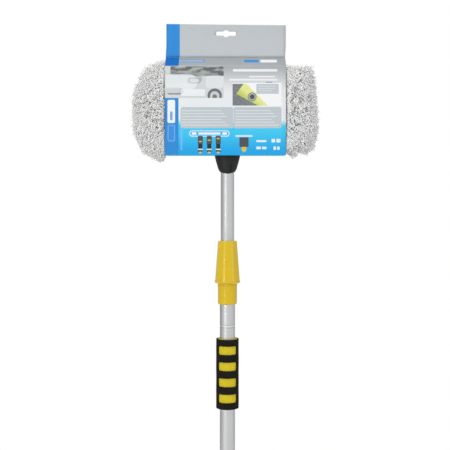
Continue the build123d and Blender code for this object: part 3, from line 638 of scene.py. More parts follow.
# Inks of the print, and where its fades and larger shapes lie, from the card's lower left corner
ink = {
    "deepBlue": (0.002, 0.137, 0.48), "blue": (0.028, 0.245, 0.64), "skyBlue": (0.014, 0.46, 0.82),
    "paleBlue": (0.22, 0.47, 0.85), "white": (0.86, 0.87, 0.88), "paper": (0.76, 0.78, 0.80),
    "panel": (0.487, 0.54, 0.57), "lightGrey": (0.60, 0.635, 0.635), "midGrey": (0.30, 0.33, 0.35),
    "darkGrey": (0.075, 0.08, 0.09), "black": (0.022, 0.024, 0.027), "lime": (0.72, 0.76, 0.27),
    "deepLime": (0.50, 0.56, 0.12), "gold": (0.72, 0.50, 0.04), "line": (0.80, 0.82, 0.84),
    "foldGrey": (0.337, 0.366, 0.383), "headerLow": (0.505, 0.54, 0.56), "headerHigh": (0.475, 0.51, 0.528),
    # a bright blue for the bottom fold and underside: painted light
    "fieldLow": (0.012, 0.36, 0.76), "fieldHigh": (0.055, 0.56, 0.84), "footPaintedLight": (0.0, 0.62, 1.0),
    "glassGreen": (0.34, 0.37, 0.34),
}
printLook = {
    "greyFade": (96.0, 152.0), "headerEdge": (160.7, 161.4), "headerFade": (163.0, 214.0),
    "fieldFade": (47.0, 60.5), "fieldSlope": 0.012, "fieldTop": 45.0,
    "glassBand": (9.0, 127.0, 94.5, 142.6, 2.0), "insetBox": (108.6, 79.4, 186.0, 114.4, 0.5),
    "insetHub": (140.0, 93.5), "insetTurn": -37.0, "cuffTo": -23.5,
    "insetRings": ((7.0, "darkGrey"), (5.9, "lightGrey"), (5.2, "midGrey"), (3.6, "darkGrey")),
    "insetTaper": (-30.0, 34.0, 12.5, 3.0), "textColumns": ((27.0, 102.0), (113.0, 182.0)),
    "textRows": {"Bottom": 46.0, "Top": 74.0, "Pitch": 4.6, "Share": 0.55},
}

# Printed areas: left, bottom, right, top, corner, ink, share; first bars where the heading stands
printHead = [
    (127, 150.5, 151, 156.5, 2, "blue", 0.95), (153.5, 150.5, 180.5, 156.5, 2, "white", 0.9),
    (109, 134, 180.5, 138, 1.6, "white", 0.85), (135, 124.6, 177, 127.2, 1.2, "white", 0.7),
    (103, 119.6, 180.5, 122.4, 1.2, "white", 0.75), (15.5, 151, 64, 156.5, 2.6, "blue", 0.9),
    (17.5, 152.6, 62, 154.9, 1.1, "lightGrey", 0.7),
]
# large picture: rounded panels, a dark window band and a wheel arch
printPicture = [
    (0, 91.7, 94.5, 143.1, 0.2, "lightGrey", 1), (0, 116, 60, 131, 6.9, "midGrey", 0.45),
    (-12, 105, 52, 129.5, 12, "paper", 0.85), (37, 115, 58, 124.5, 4.7, "midGrey", 0.55),
    (39.5, 116.5, 55, 123, 3.2, "paper", 0.7), (66, 108, 94.5, 127.5, 5, "paper", 0.6),
    (3, 97, 30, 107, 5, "darkGrey", 0.65), (1, 99.5, 26, 108.5, 4, "lightGrey", 0.9),
    (25.5, 95, 64.5, 105.8, 2, "white", 0.7), (68.5, 84, 91.5, 107, 11.4, "darkGrey", 0.85),
    (72.5, 84, 87.5, 102.5, 7.4, "lightGrey", 0.9), (76.5, 84, 83.5, 97.5, 3.4, "darkGrey", 0.8),
    (25.5, 83, 94.5, 91.7, 0.2, "paper", 1),
]
# upright bars on the left stripe
printStripe = [
    (4.4, 51.5, 16.6, 88.6, 2.4, "white", 0.95), (8.4, 56, 12.6, 70, 1.4, "blue", 0.8),
    (4.4, 22, 16.6, 48.8, 2.4, "paleBlue", 0.6), (6.4, 24, 14.6, 46.8, 1.6, "blue", 0.85),
]
printInset = [
    (108.1, 78.9, 186.7, 115.8, 0.6, "white", 0.9), (146.8, 98.3, 182.5, 114.2, 1, "panel", 0.95),
    (150, 110, 178, 110.9, 0.3, "line", 0.6), (150, 106.4, 178, 107.3, 0.3, "line", 0.6),
    (150, 102.8, 172, 103.7, 0.3, "line", 0.6), (161.5, 116.2, 172.5, 117.4, 0.4, "darkGrey", 0.8),
]
printPanels = [
    (25.4, 43.2, 109.8, 77, 3, "panel", 1), (110.4, 43.2, 186.7, 77, 3, "panel", 1),
]
# at the foot: a framed bar, a square hose end, and small marks at the right
printFoot = [
    (39.4, 30, 103.6, 39.6, 4.2, "white", 0.95), (40.6, 31.2, 102.4, 38.4, 3.4, "skyBlue", 1),
    (43.2, 32.6, 50.7, 37, 1.4, "white", 0.9), (53.7, 33, 89.2, 36.6, 1, "white", 0.9),
    (92.2, 32.6, 99.7, 37, 1.4, "white", 0.9), (113.2, 29.5, 140.5, 32.2, 1, "white", 0.75),
    (119.5, 13.1, 134.3, 28.6, 1.6, "darkGrey", 1), (123.3, 6.8, 130.5, 13.5, 1.4, "gold", 1),
    (125.1, 5.2, 128.7, 7.6, 0.8, "gold", 1), (146.7, 21, 162.9, 24.2, 1.2, "white", 0.9),
    (171, 20.4, 176.7, 26.2, 0.8, "white", 0.85), (178.7, 20.4, 185.4, 26.2, 1.4, "white", 0.85),
    (146.7, 9.6, 153.7, 13.8, 0.8, "white", 0.9), (155.7, 9.6, 162.9, 13.8, 1.4, "white", 0.85),
    (174.2, 8.5, 178.2, 14, 0.8, "white", 0.85), (179.9, 8.5, 184.1, 14, 1.6, "white", 0.85),
    (25.4, 8, 28.2, 42, 1, "paleBlue", 0.75),
]
# three small housings, each with its gold slider at its own height
for x, knob in ((57.0, 21.8), (71.2, 23.9), (85.6, 26.6)):
    housing = (
        (4.1, 17, 31, 1.4, "darkGrey", 1), (3.4, 6.4, 18, 1, "black", 1),
        (2.4, knob - 0.9, knob + 1.2, 0.8, "gold", 0.9), (3.9, 8.2, 10.4, 0.7, "white", 0.85),
        (3.9, 5.6, 8.2, 0.9, "black", 1), (2, 3, 5.9, 1, "gold", 1),
    )
    printFoot += [(x - half, bottom, x + half, *rest) for half, bottom, *rest in housing]

# Rounded box: 1 inside a box with rounded corners, from the signed distance to it in millimetres
boxTakes = [("Place", vector3, (0, 0, 0))] + [
    (label, number, value) for label, value in (("Left", 0.0), ("Bottom", 0.0), ("Right", 1.0), ("Top", 1.0))
]
boxGroup, taken, given = newGroup(
    "printedBox", boxTakes + [("Corner", number, 0.5), ("Share", number, 1.0)], [("Mask", number)]
)
across, _, upward = parts(taken["Place"])
reach = []
for along, low, high in ((across, "Left", "Right"), (upward, "Bottom", "Top")):
    centre = times(plus(taken[low], taken[high]), 0.5)
    extent = times(minus(taken[high], taken[low]), 0.5)
    reach.append(plus(minus(calc("ABSOLUTE", minus(along, centre)), extent), taken["Corner"]))
outX, outZ = (calc("MAXIMUM", value, 0.0) for value in reach)
outside = calc("SQRT", plus(times(outX, outX), times(outZ, outZ)))
inside = calc("MINIMUM", calc("MAXIMUM", *reach), 0.0)
border = minus(plus(outside, inside), taken["Corner"])
plug(times(minus(0.5, times(border, 3.0), clamp=True), taken["Share"]), given["Mask"])

# Text lines: thin lines at an even pitch, of uneven length, inside a box
lineGroup, taken, given = newGroup(
    "textLines", boxTakes + [("Pitch", number, 3.0), ("Share", number, 1.0)], [("Mask", number)]
)
across, _, upward = parts(taken["Place"])
row = calc("DIVIDE", minus(upward, taken["Bottom"]), taken["Pitch"])
mask = below(calc("ABSOLUTE", minus(calc("FRACT", row), 0.5)), 0.17)
shorter = times(calc("FRACT", times(calc("FLOOR", row), 0.377)), 14.0)
for within in (
    above(across, taken["Left"]), below(across, minus(taken["Right"], shorter)),
    above(upward, taken["Bottom"]), below(upward, taken["Top"]),
):
    mask = times(mask, within)
plug(times(mask, taken["Share"]), given["Mask"])


def printedCard():
    # The print is stamped area by area; most of it is on the front only, and the fields go all round
    look = printLook
    made, tree, sockets = newMaterial("printedCard", Specular_IOR_Level=0.25)
    corner = (-cardLow[0], -cardLook["headerY"], -cardLow[2])
    place = stretchedBy(objectPlace(tree), (1 / mm, 1 / mm, 1 / mm), corner)
    across, depth, upward = parts(place)
    front = below(depth, 0.0)

    def maskOf(area, share=1.0):
        sides = dict(zip(("Left", "Bottom", "Right", "Top", "Corner"), area))
        return useGroup(tree, boxGroup, Place=place, Share=share, **sides)["Mask"]

    def stamp(shown, areas, only=None):
        for *area, name, share in areas:
            mask = maskOf(area, share)
            shown = mixColour(times(mask, only) if only is not None else mask, shown, ink[name])
        return shown

    # ground: grey at the fold, fading to white paper downwards; a lighter grey header
    shown = mixColour(fromRange(upward, *look["greyFade"]), ink["paper"], ink["foldGrey"])
    header = mixColour(fromRange(upward, *look["headerFade"]), ink["headerLow"], ink["headerHigh"])
    shown = mixColour(fromRange(upward, *look["headerEdge"]), shown, header)
    # blue field at the foot, fading in from above
    climb = plus(upward, times(across, look["fieldSlope"]))
    field = mixColour(fromRange(upward, 0.0, look["fieldTop"]), ink["fieldLow"], ink["fieldHigh"])
    shown = mixColour(fromRange(climb, *look["fieldFade"], 1.0, 0.0), shown, field)
    shown = stamp(shown, printHead + printPicture[:1], front)
    shapes = noise(stretchedBy(place, (0.06, 0.0, 0.17), (3.0, 0.0, 1.0)), 1.0, 2.0, 0.4)
    glass = mixColour(fromRange(shapes, 0.40, 0.60), ink["darkGrey"], ink["glassGreen"])
    shown = mixColour(times(maskOf(look["glassBand"], 0.9), front), shown, glass)
    shown = stamp(shown, printPicture[1:], front)
    shown = stamp(shown, [(-1, -1, 22, 91.7, 0.2, "blue", 1)])
    shown = stamp(shown, printStripe, front)
    shown = stamp(shown, [(-1, 143.2, 22, 161.2, 0.2, "deepBlue", 1), (-1, 161.2, 22.9, 217, 0.2, "blue", 1)])
    # inset picture: a tapered lime handle with a dark ring, lying aslant on white
    shown = stamp(shown, printInset[:1], front)
    slantX, slantZ = minus(across, look["insetHub"][0]), minus(upward, look["insetHub"][1])
    cos, sin = math.cos(math.radians(look["insetTurn"])), math.sin(math.radians(look["insetTurn"]))
    along = plus(times(slantX, cos), times(slantZ, sin))
    side = minus(times(slantZ, cos), times(slantX, sin))
    widest = fromRange(along, *look["insetTaper"], smooth=False)
    inset = times(front, maskOf(look["insetBox"]))
    handle = times(inset, below(calc("ABSOLUTE", side), widest))
    shown = mixColour(handle, shown, mixColour(fromRange(side, -10.0, 3.0), ink["deepLime"], ink["lime"]))
    cuff = times(handle, below(along, look["cuffTo"]))
    hand = times(inset, above(times(side, -1.0), widest))
    speckled = mixColour(noise(objectPlace(tree), 260.0), ink["darkGrey"], ink["midGrey"])
    shown = mixColour(calc("MAXIMUM", cuff, hand), shown, speckled)
    ringAway = calc("SQRT", plus(calc("POWER", along, 2.0), calc("POWER", side, 2.0)))
    for size, name in look["insetRings"]:
        shown = mixColour(times(below(ringAway, size), front), shown, ink[name])
    shown = stamp(stamp(shown, printInset[1:], front), printPanels)
    for left, right in look["textColumns"]:
        lines = useGroup(tree, lineGroup, Place=place, Left=left, Right=right, **look["textRows"])
        shown = mixColour(lines["Mask"], shown, ink["line"])
    shown = stamp(shown, printFoot, front)
    # a bright blue over the bottom fold and underside: painted light lifting their shade
    shown = mixColour(times(fromRange(upward, 0.4, 1.2, 1.0, 0.0), 0.8), shown, ink["footPaintedLight"])
    # rubbed folds show paler board
    for height in (cardLook["foldHeight"], cardLook["creaseHeight"]):
        patchy = fromRange(noise(objectPlace(tree), 160.0), 0.45, 0.75, 0.1, 0.6)
        shown = mixColour(times(atHeight(tree, cardLow[2] + height, 0.5), patchy), shown, ink["white"])
    tone = softTone(tree, shown, 9.0, 0.03)
    plug(tone["Colour"], sockets["Base Color"])
    unevenRough(sockets, tone["Mask"], 0.35)
    addGrain(tree, sockets, 0.02, Scale=700.0, Coarse=1.0)
    return made


boardLook = {
    "colour": (0.60, 0.585, 0.55), "rough": 0.85, "specular": 0.5, "tone": 0.06, "toneScale": 30.0,
    "grain": {"Scale": 900.0, "Stretch": (1.0, 1.0, 0.3), "Coarse": 0.8}, "depth": 0.04,
}
cardFinishes = [printedCard(), mattStuff("plainBoard", boardLook)]


def makeCardSleeve():
    # A sheet folded round the head: a path in Y and Z with arcs at its folds, carried along X; each panel
    # bows outwards as a half sine between its folds, more at the open sides, with a soft wave on top
    look = cardLook
    fold, crease = cardLow[2] + look["foldHeight"], cardLow[2] + look["creaseHeight"]
    y0, y1, bottom = cardLow[1], cardHigh[1], cardLow[2]
    before, behind = look["headerY"] - look["board"], look["headerY"] + look["board"]
    lapTop = crease + look["headerLap"]
    corners = [
        (before, lapTop), (before, crease), (y0, fold), (y0, bottom),
        (y1, bottom + look["backRise"]), (y1, fold), (behind, crease), (behind, lapTop),
    ]
    path = roundedPath(corners, look["foldRadius"], look["pathStep"])
    x = np.linspace(cardLow[0], cardHigh[0], look["columns"])
    y, across = np.meshgrid(path[:, 0], x, indexing="ij")
    z = path[:, 1][:, None] + 0 * y
    side = (across - cardMiddle) / (cardWide / 2)
    rising = np.sin(math.pi * np.clip((z - bottom) / (fold - bottom), 0, 1))
    push = look["bow"] * rising ** 0.8 * (0.7 + look["bowAtSides"] * side ** 2)
    push += look["wave"] * rising * np.sin(across / look["waveAcross"] + 0.4 + z / look["waveUp"])
    push[z > fold + 0.5] = 0
    level = np.clip(np.abs(y) / abs(y0) * 3 - 2, 0, 1)
    flat = np.stack((across, y + np.sign(y) * push * level, z), -1).reshape(-1, 3)
    quads = gridQuads(len(path), len(x))[:, ::-1]
    # the hole for the socket: cells near the pole are left out, and its rim is drawn out to a circle
    centres = flat[quads].mean(1)
    hole = np.hypot(centres[:, 0], centres[:, 1]) < look["flapHole"]
    hole &= centres[:, 2] < bottom + look["flapReach"]
    rim = np.intersect1d(np.unique(quads[hole]), np.unique(quads[~hole]))
    flat[rim, :2] *= (look["flapHole"] / np.hypot(flat[rim, 0], flat[rim, 1]))[:, None]
    piece = makePiece("cardSleeve", *usedOnly(flat, quads[~hole]), cardFinishes)
    thicken(piece, look["board"], material_offset=1, material_offset_rim=1)
    seat(piece, "card", "head", "retail_card")


def makeCardHeader():
    # The header as a ring-shaped grid: each ray from the slot's centre runs from the slot's edge to the
    # header's edge; the slot is the outer of a rounded box and a circle, and the sheet bends a little
    look = cardLook
    bottom, top = cardLow[2] + look["creaseHeight"] + look["headerGap"], cardHigh[2]
    hub = np.array([cardMiddle, top - look["slotBelowTop"]])
    walls = (cardLow[0] - hub[0], cardHigh[0] - hub[0], bottom - hub[1], top - hub[1])
    wide, tall = look["slotWide"], look["slotTall"]
    t, level = np.linspace(-1, 1, 41), np.ones(41)
    slotX = np.concatenate((wide * t, wide * t, wide * level[:9], -wide * level[:9]))
    slotZ = np.concatenate((tall * level, -tall * level, tall * t[::5], tall * t[::5]))
    edgeX, edgeZ = np.meshgrid(np.linspace(*walls[:2], 25), np.linspace(*walls[2:], 9))
    rim = (edgeX == walls[0]) | (edgeX == walls[1]) | (edgeZ == walls[2]) | (edgeZ == walls[3])
    angles = np.concatenate((np.arctan2(slotZ, slotX), np.arctan2(edgeZ[rim], edgeX[rim])))
    angles = np.unique(np.round(np.mod(angles, 2 * math.pi), 4))
    cos, sin = np.cos(angles), np.sin(angles)
    squared = ((np.abs(cos) / wide) ** 14 + (np.abs(sin) / tall) ** 14) ** (-1 / 14)
    inner = np.maximum(squared, look["slotRound"])
    farX = np.where(cos > 0, walls[1], -walls[0]) / np.maximum(np.abs(cos), 1e-9)
    farZ = np.where(sin > 0, walls[3], -walls[2]) / np.maximum(np.abs(sin), 1e-9)
    share = np.linspace(0, 1, 12)[:, None]
    radius = inner + (np.minimum(farX, farZ) - inner) * share
    x, z = hub[0] + radius * cos, hub[1] + radius * sin
    rise = (z - bottom) / (top - bottom)
    z = z - look["headerFall"] * (x - cardLow[0]) / cardWide * np.clip(rise, 0, 1)
    x = x + look["headerShift"] * np.clip(rise * 3, 0, 1)
    bend = look["headerBend"] * rise ** 2 * np.sin((x - cardLow[0]) / cardWide * math.pi * look["headerWave"])
    points = np.stack((x, look["headerY"] - look["board"] + bend, z), -1)
    quads = gridQuads(len(share), len(angles), closeColumns=True)
    piece = makePiece("cardHeader", points, quads, cardFinishes)
    thicken(piece, 2 * look["board"], material_offset_rim=1)
    seat(piece, "card", "head")


makeCardSleeve()
makeCardHeader()
print("hang card made")

# Pile; the edge's stops are millimetres round the head from the middle of its top, clockwise from the
# front, each with the X and Z that the pile reaches there
headLow, headHigh = boxOf("head_shell")
headMiddle = (headLow[2] + headHigh[2]) / 2
halfWide, halfTall = (headHigh[0] - headLow[0]) / 2, (headHigh[2] - headLow[2]) / 2
pileEdge = np.array([
    (0.0, 0.0, 1130.0), (97.0, 108.0, 1118.0), (120.6, 138.5, 1119.0), (144.1, 143.0, 1084.0),
    (172.1, 147.0, 1046.0), (200.1, 147.5, 1014.0), (223.7, 142.0, 986.0), (247.2, 114.0, 979.0),
    (257.0, 101.0, 984.0), (344.2, 0.0, 980.0), (433.0, -97.0, 984.0), (444.0, -110.0, 966.5),
    (464.8, -138.5, 983.0), (488.4, -152.0, 1010.0), (516.4, -154.5, 1042.0), (544.4, -152.5, 1079.0),
    (567.9, -136.0, 1113.5), (591.5, -106.0, 1128.0), (688.5, 0.0, 1130.0),
])
pileLook = {
    "corner": 30.0, "inset": 14.0, "skin": 18.6, "halfDepth": 39.0, "start": 0.42, "points": 10, "sides": 4,
    "radius": 1.45, "curl": 1.7, "turns": 1.35, "stray": 3.2, "droop": 3.5, "reach": (0.86, 1.05),
    "taperFrom": 0.75, "taperBy": 0.62, "lumps": 0.13, "cardLap": 9.0, "footClear": (47.0, 17.0, 12.0),
    "rows": 46, "spacing": 2.8, "underCard": 0.3, "facesFrom": 19.0, "faceLean": 4.0,
    "clump": 22, "pull": (0.25, 0.5), "cardSpread": 0.4, "leftTo": -96.0, "rightFrom": 90.0, "seed": 5,
    # rows on the front and back: step, from, to
    "faces": ((6.5, -90.0, 82.0), (3.1, -113.0, -90.0), (3.1, 82.0, 113.0)),
}
fuzzLook = {
    "start": 0.86, "points": 5, "sides": 3, "radius": 0.32, "curl": 0.9, "turns": 0.5, "stray": 2.4,
    "droop": 1.0, "reach": (0.95, 1.1), "shift": 2.0, "left": 1.5, "right": 0.6,
}
backingLook = {
    # a little darker than the yarn: painted shade deep in the pile
    "colour": (0.80, 0.80, 0.795), "rough": 0.95, "specular": 0.1, "tone": 0.25, "toneScale": 330.0,
    "grain": {"Scale": 900.0, "Coarse": 2.0}, "depth": 1.2, "stops": 240, "share": 0.56, "loops": 9, "rows": 37,
    "bump": 0.9, "fromCard": 2.4, "aboveCard": 7.5, "footWide": 46.0, "footDeep": 24.0, "footGap": 0.4,
}


def outlineTable():
    # The head's rounded outline as a dense table of length, X, Z and outward normal
    corner = pileLook["corner"]
    turn = np.linspace(0, math.pi / 2, 25)
    runs = [np.array([[0.0], [halfTall], [0.0], [1.0]])]
    for hubX, hubZ, first in (
        (halfWide - corner, halfTall - corner, math.pi / 2), (halfWide - corner, corner - halfTall, 0.0),
        (corner - halfWide, corner - halfTall, -math.pi / 2), (corner - halfWide, halfTall - corner, -math.pi),
    ):
        nx, nz = np.cos(first - turn), np.sin(first - turn)
        runs.append(np.array([hubX + corner * nx, hubZ + corner * nz, nx, nz]))
    x, z, nx, nz = np.concatenate(runs + [runs[0]], axis=1)
    length = np.concatenate(([0.0], np.cumsum(np.hypot(np.diff(x), np.diff(z)))))
    return length, (x, z + headMiddle, nx, nz)


outlineLength, outlineRows = outlineTable()
wholeWay = outlineLength[-1]


def alongOutline(s):
    # Place and normal on the head's outline, and the place inset from it that the yarns fan out from
    x, z, nx, nz = (np.interp(np.mod(s, wholeWay), outlineLength, row) for row in outlineRows)
    size = np.hypot(nx, nz)
    nx, nz = nx / size, nz / size
    return x + nx, z + nz, x - nx * pileLook["inset"], z - nz * pileLook["inset"]


def pileLimit(s):
    # X and Z of the pile's edge at s round the head, between the stops above
    return [np.interp(np.mod(s, wholeWay), pileEdge[:, 0], pileEdge[:, place]) for place in (1, 2)]


def pileLine(s, t):
    # Root and tip of the yarn at s round the head and t across its edge: both lie on ovals round a line
    # inside the head's outline, the root on the head's skin and the tip on the pile's edge
    x, z, cx, cz = alongOutline(s)
    farX, farZ = pileLimit(s)
    cos, sin = np.cos(t), np.sin(t)
    wide, deep = np.abs(cos) ** 0.8, np.sign(sin) * np.abs(sin) ** 0.85
    root = np.stack((cx + (x - cx) * cos, pileLook["skin"] * sin, cz + (z - cz) * cos), -1)
    tip = np.stack((cx + (farX - cx) * wide, pileLook["halfDepth"] * deep, cz + (farZ - cz) * wide), -1)
    return root, tip


# How far from the card the pile stays, and from where to where beside it the pile is let out, and by how much
coverLook = {"gap": 0.5, "from": 1.0, "over": 10.0, "letOut": 24.0}


def insideCard(points, thick, spread=0.0):
    # Pushes points back inside the card where it covers them, and lets them out softly beside it; a
    # spread lifts each row of points off the underside by its own share, so they don't lie in one sheet
    fold, crease = cardLow[2] + cardLook["foldHeight"], cardLow[2] + cardLook["creaseHeight"]
    beside = np.maximum(cardLow[0] - points[..., 0], points[..., 0] - cardHigh[0])
    free = np.clip((beside - coverLook["from"]) / coverLook["over"], 0, 1)
    free = free * free * (3 - 2 * free) * coverLook["letOut"]
    margin = cardLook["board"] + coverLook["gap"] + thick
    points[..., 1] = np.clip(points[..., 1], cardLow[1] + margin - free, cardHigh[1] - margin + free)
    rise = cardLook["backRise"] * (points[..., 1] - cardLow[1]) / (cardHigh[1] - cardLow[1])
    under = np.maximum(cardLow[2] + np.clip(rise, 0, None) + margin - free - points[..., 2], 0)
    points[..., 2] += under * (1 + spread * (1 + np.sin(np.arange(len(points)) * 12.9))[:, None])
    for y in (cardLow[1], cardHigh[1]):
        normal = unit(np.array([crease - fold, abs(y - cardLook["headerY"])])) * np.array([np.sign(y), 1])
        limit = normal @ np.array([y, fold]) - margin
        over = np.maximum(points[..., 1] * normal[0] + points[..., 2] * normal[1] - limit - free, 0)
        points[..., 1] -= over * normal[0]
        points[..., 2] -= over * normal[1]
    return points


def towardsClump(rng, tip, share):
    # The way from each tip to the nearest of a few tips drawn by lot, times a share
    heads = tip[rng.choice(len(tip), len(tip) // pileLook["clump"], replace=False)]
    nearest = np.array([np.argmin(((heads - one) ** 2).sum(1)) for one in tip])
    return (heads[nearest] - tip) * share[:, None]


def yarnPoints(rng, root, tip, look, gather):
    # Yarn: a straight line from root to tip plus a helix that opens towards the tip and a bend that
    # grows as a power of the way along; returns one row of points for each yarn
    count = len(root)
    q = np.linspace(look["start"], 1, look["points"])
    way = ((q - look["start"]) / (1 - look["start"]))[None, :]
    line = tip - root
    ahead = line / np.linalg.norm(line, axis=1, keepdims=True)
    helper = np.where(np.abs(ahead[:, 2:3]) > 0.8, np.array([[1.0, 0, 0]]), np.array([[0, 0, 1.0]]))
    side = np.cross(ahead, helper)
    side /= np.linalg.norm(side, axis=1, keepdims=True)
    other = np.cross(ahead, side)
    phase = rng.uniform(0, 2 * math.pi, (count, 1))
    turns = look["turns"] * rng.uniform(0.6, 1.3, (count, 1)) * rng.choice((-1, 1), (count, 1))
    angle = phase + 2 * math.pi * turns * way
    curl = look["curl"] * rng.uniform(0.5, 1.35, (count, 1)) * way ** 0.6
    bend = rng.normal(0, look["stray"], (count, 2))
    grown = way ** 1.6
    reach = rng.uniform(*look["reach"], (count, 1))
    points = root[:, None, :] + line[:, None, :] * (q[None, :] * reach)[..., None]
    points += side[:, None, :] * (curl * np.cos(angle) + bend[:, :1] * grown)[..., None]
    points += other[:, None, :] * (curl * np.sin(angle) + bend[:, 1:] * grown)[..., None]
    points += gather[:, None, :] * grown[..., None]
    points[..., 2] -= look["droop"] * rng.uniform(0.3, 1.4, (count, 1)) * grown
    return points, side


def yarnMesh(name, rng, lines, side, look, material):
    # Tubes round the lines: at each point a ring across the line's direction, thinner towards the tip
    count, stops = lines.shape[:2]
    sides = look["sides"]
    ahead = unit(np.gradient(lines, axis=1))
    first = unit(np.cross(ahead, side[:, None, :]))
    second = np.cross(ahead, first)
    way = np.linspace(0, 1, stops)
    tapered = np.clip((way - pileLook["taperFrom"]) / (1 - pileLook["taperFrom"]), 0, 1)
    taper = 1 - pileLook["taperBy"] * tapered ** 1.5
    thick = look["radius"] * rng.uniform(0.78, 1.22, (count, 1)) * taper[None, :]
    thick = thick * (1 + pileLook["lumps"] * np.sin(way[None, :] * 17 + rng.uniform(0, 6, (count, 1))))
    turn = (np.arange(sides) * 2 * math.pi / sides)[None, None, :, None]
    ring = first[:, :, None, :] * np.cos(turn) + second[:, :, None, :] * np.sin(turn)
    points = lines[:, :, None, :] + ring * thick[:, :, None, None]
    one = gridQuads(stops, sides, closeColumns=True)
    if sides == 4:
        lids = np.array([[0, 3, 2, 1], [0, 1, 2, 3]]) + np.array([[0], [(stops - 1) * sides]])
        one = np.concatenate((one, lids))
    quads = (one[None] + (np.arange(count) * stops * sides)[:, None, None]).reshape(-1, 4)
    piece = makePiece(name, points, quads, [material])
    along = np.broadcast_to(way[None, :, None], points.shape[:3])
    tint = np.broadcast_to(rng.uniform(0, 1, (count, 1, 1)), points.shape[:3])
    for label, values in (("along", along), ("tint", tint)):
        attribute = piece.data.attributes.new(label, "FLOAT", "POINT")
        attribute.data.foreach_set("value", np.ascontiguousarray(values, dtype=np.float32).ravel())
    seat(piece, "fibre", "head")
    print(" ", name, count, "yarns", len(quads) * 2, "triangles")


# deep: the colour at the yarns' roots, painted shade deep in the pile
softYarnLook = {
    "tip": (0.96, 0.96, 0.955), "deep": (0.93, 0.93, 0.93), "warm": (0.95, 0.935, 0.90),
    "shade": (0.95, 0.96, 0.965), "rough": 0.9, "sheen": 0.55,
}
firmYarnLook = {
    "tip": (0.96, 0.96, 0.955), "deep": (0.60, 0.60, 0.60), "warm": (0.92, 0.905, 0.87),
    "shade": (0.87, 0.88, 0.89), "rough": 0.9, "sheen": 0.5,
}


def yarnMaterial(name, look):
    # Yarns run from shade to tip colour by lot, some of them warm, and darken towards their roots as painted
    # shade deep in the pile
    made, tree, sockets = newMaterial(
        name, Roughness=look["rough"], Specular_IOR_Level=0.2, Sheen_Weight=look["sheen"], Sheen_Roughness=0.5
    )
    along, tint = (
        newNode(tree, "Attribute", attribute_name=label).outputs["Fac"] for label in ("along", "tint")
    )
    shown = mixColour(fromRange(tint, 0.0, 1.0, smooth=False), look["shade"], look["tip"])
    shown = mixColour(fromRange(tint, 0.72, 0.8), shown, look["warm"])
    # darker towards the roots: painted shade
    shown = mixColour(fromRange(along, 0.0, 0.55), look["deep"], shown)
    plug(softTone(tree, shown, 420.0, 0.1)["Colour"], sockets["Base Color"])
    addGrain(tree, sockets, 0.35, Scale=2600.0, Coarse=1.2)
    return made


softYarn = yarnMaterial("softYarn", softYarnLook)
firmYarn = yarnMaterial("firmYarn", firmYarnLook)


def makeBacking():
    # The felted inner pile: the same ovals as the yarn at a share of its length, closed over the front and back
    # by loops that shrink to the head's middle line, with a bumpy surface; its colour, a little darker than the
    # yarn's, is painted shade deep in the pile
    look = backingLook
    stops, share = look["stops"], look["share"]
    s = np.linspace(0, wholeWay, stops, endpoint=False)
    _, _, rimX, rimZ = alongOutline(s)
    spine = np.clip(rimX, -(halfWide - halfTall), halfWide - halfTall)
    deepest = pileLook["skin"] + (pileLook["halfDepth"] - pileLook["skin"]) * share
    rows = []
    for inner in np.linspace(0.04, 0.94, look["loops"]):
        x, z = spine + (rimX - spine) * inner, headMiddle + (rimZ - headMiddle) * inner
        rows.append(np.stack((x, np.full(stops, -deepest), z), -1))
    for t in np.radians(np.linspace(-90, 90, look["rows"])):
        root, tip = pileLine(s, np.full(stops, t))
        rows.append(root + (tip - root) * share)
    rows += [row * np.array([1, -1, 1]) for row in rows[look["loops"] - 1::-1]]
    points = np.array(rows)
    x, y, z = np.moveaxis(points, -1, 0)
    bumps = np.sin(x / 1.9 + 2 * np.sin(z / 3.1)) * np.sin(z / 2.3 + y / 2.7)
    centre = np.stack((np.clip(x, -90, 90), 0 * y, np.clip(z, headMiddle - 30, headMiddle + 30)), -1)
    points = insideCard(points + unit(points - centre) * (bumps * look["bump"])[..., None], look["fromCard"])
    x, y, z = np.moveaxis(points, -1, 0)
    z[:] = np.maximum(z, cardLow[2] + look["aboveCard"])
    overFoot = (z < headLow[2] + 1) & (np.abs(x) < look["footWide"]) & (np.abs(y) < look["footDeep"])
    z[overFoot] = headLow[2] + look["footGap"]
    quads = [gridQuads(len(rows), stops, closeColumns=True)]
    half = stops // 2
    for ring, way in ((np.arange(stops), 1), ((len(rows) - 1) * stops + np.arange(stops), -1)):
        a, b = ring[:half], ring[:half - 1:-1]
        quads.append(np.stack((a[:-1], a[1:], b[1:], b[:-1]), -1)[:, ::way])
    piece = makePiece("pileBacking", points, np.concatenate(quads), [mattStuff("pileBacking", look)])
    seat(piece, "fibre", "head", "wash_pile")


def edgeYarns(rng):
    # Roots and tips round the edge, at even steps along the pile's outline; few where the card covers them
    look = pileLook
    fine = np.linspace(0, wholeWay, 1200)
    edgeLength = np.concatenate(([0.0], np.cumsum(np.hypot(*(np.diff(far) for far in pileLimit(fine))))))
    columns, rows = int(edgeLength[-1] / look["spacing"]), look["rows"]
    row, column = np.meshgrid(np.arange(rows), np.arange(columns), indexing="ij")
    t = np.radians(-89 + 178 * (row + rng.uniform(0.1, 0.9, row.shape)) / rows).ravel()
    place = ((column + rng.uniform(0.05, 0.95, row.shape)) / columns * edgeLength[-1]).ravel()
    s = np.interp(place, edgeLength, fine)
    root, tip = pileLine(s, t)
    covered = (tip[:, 0] > cardLow[0] + look["cardLap"]) & (tip[:, 0] < cardHigh[0] - look["cardLap"])
    chosen = ~covered | (rng.uniform(0, 1, len(s)) < look["underCard"])
    return root[chosen], tip[chosen]


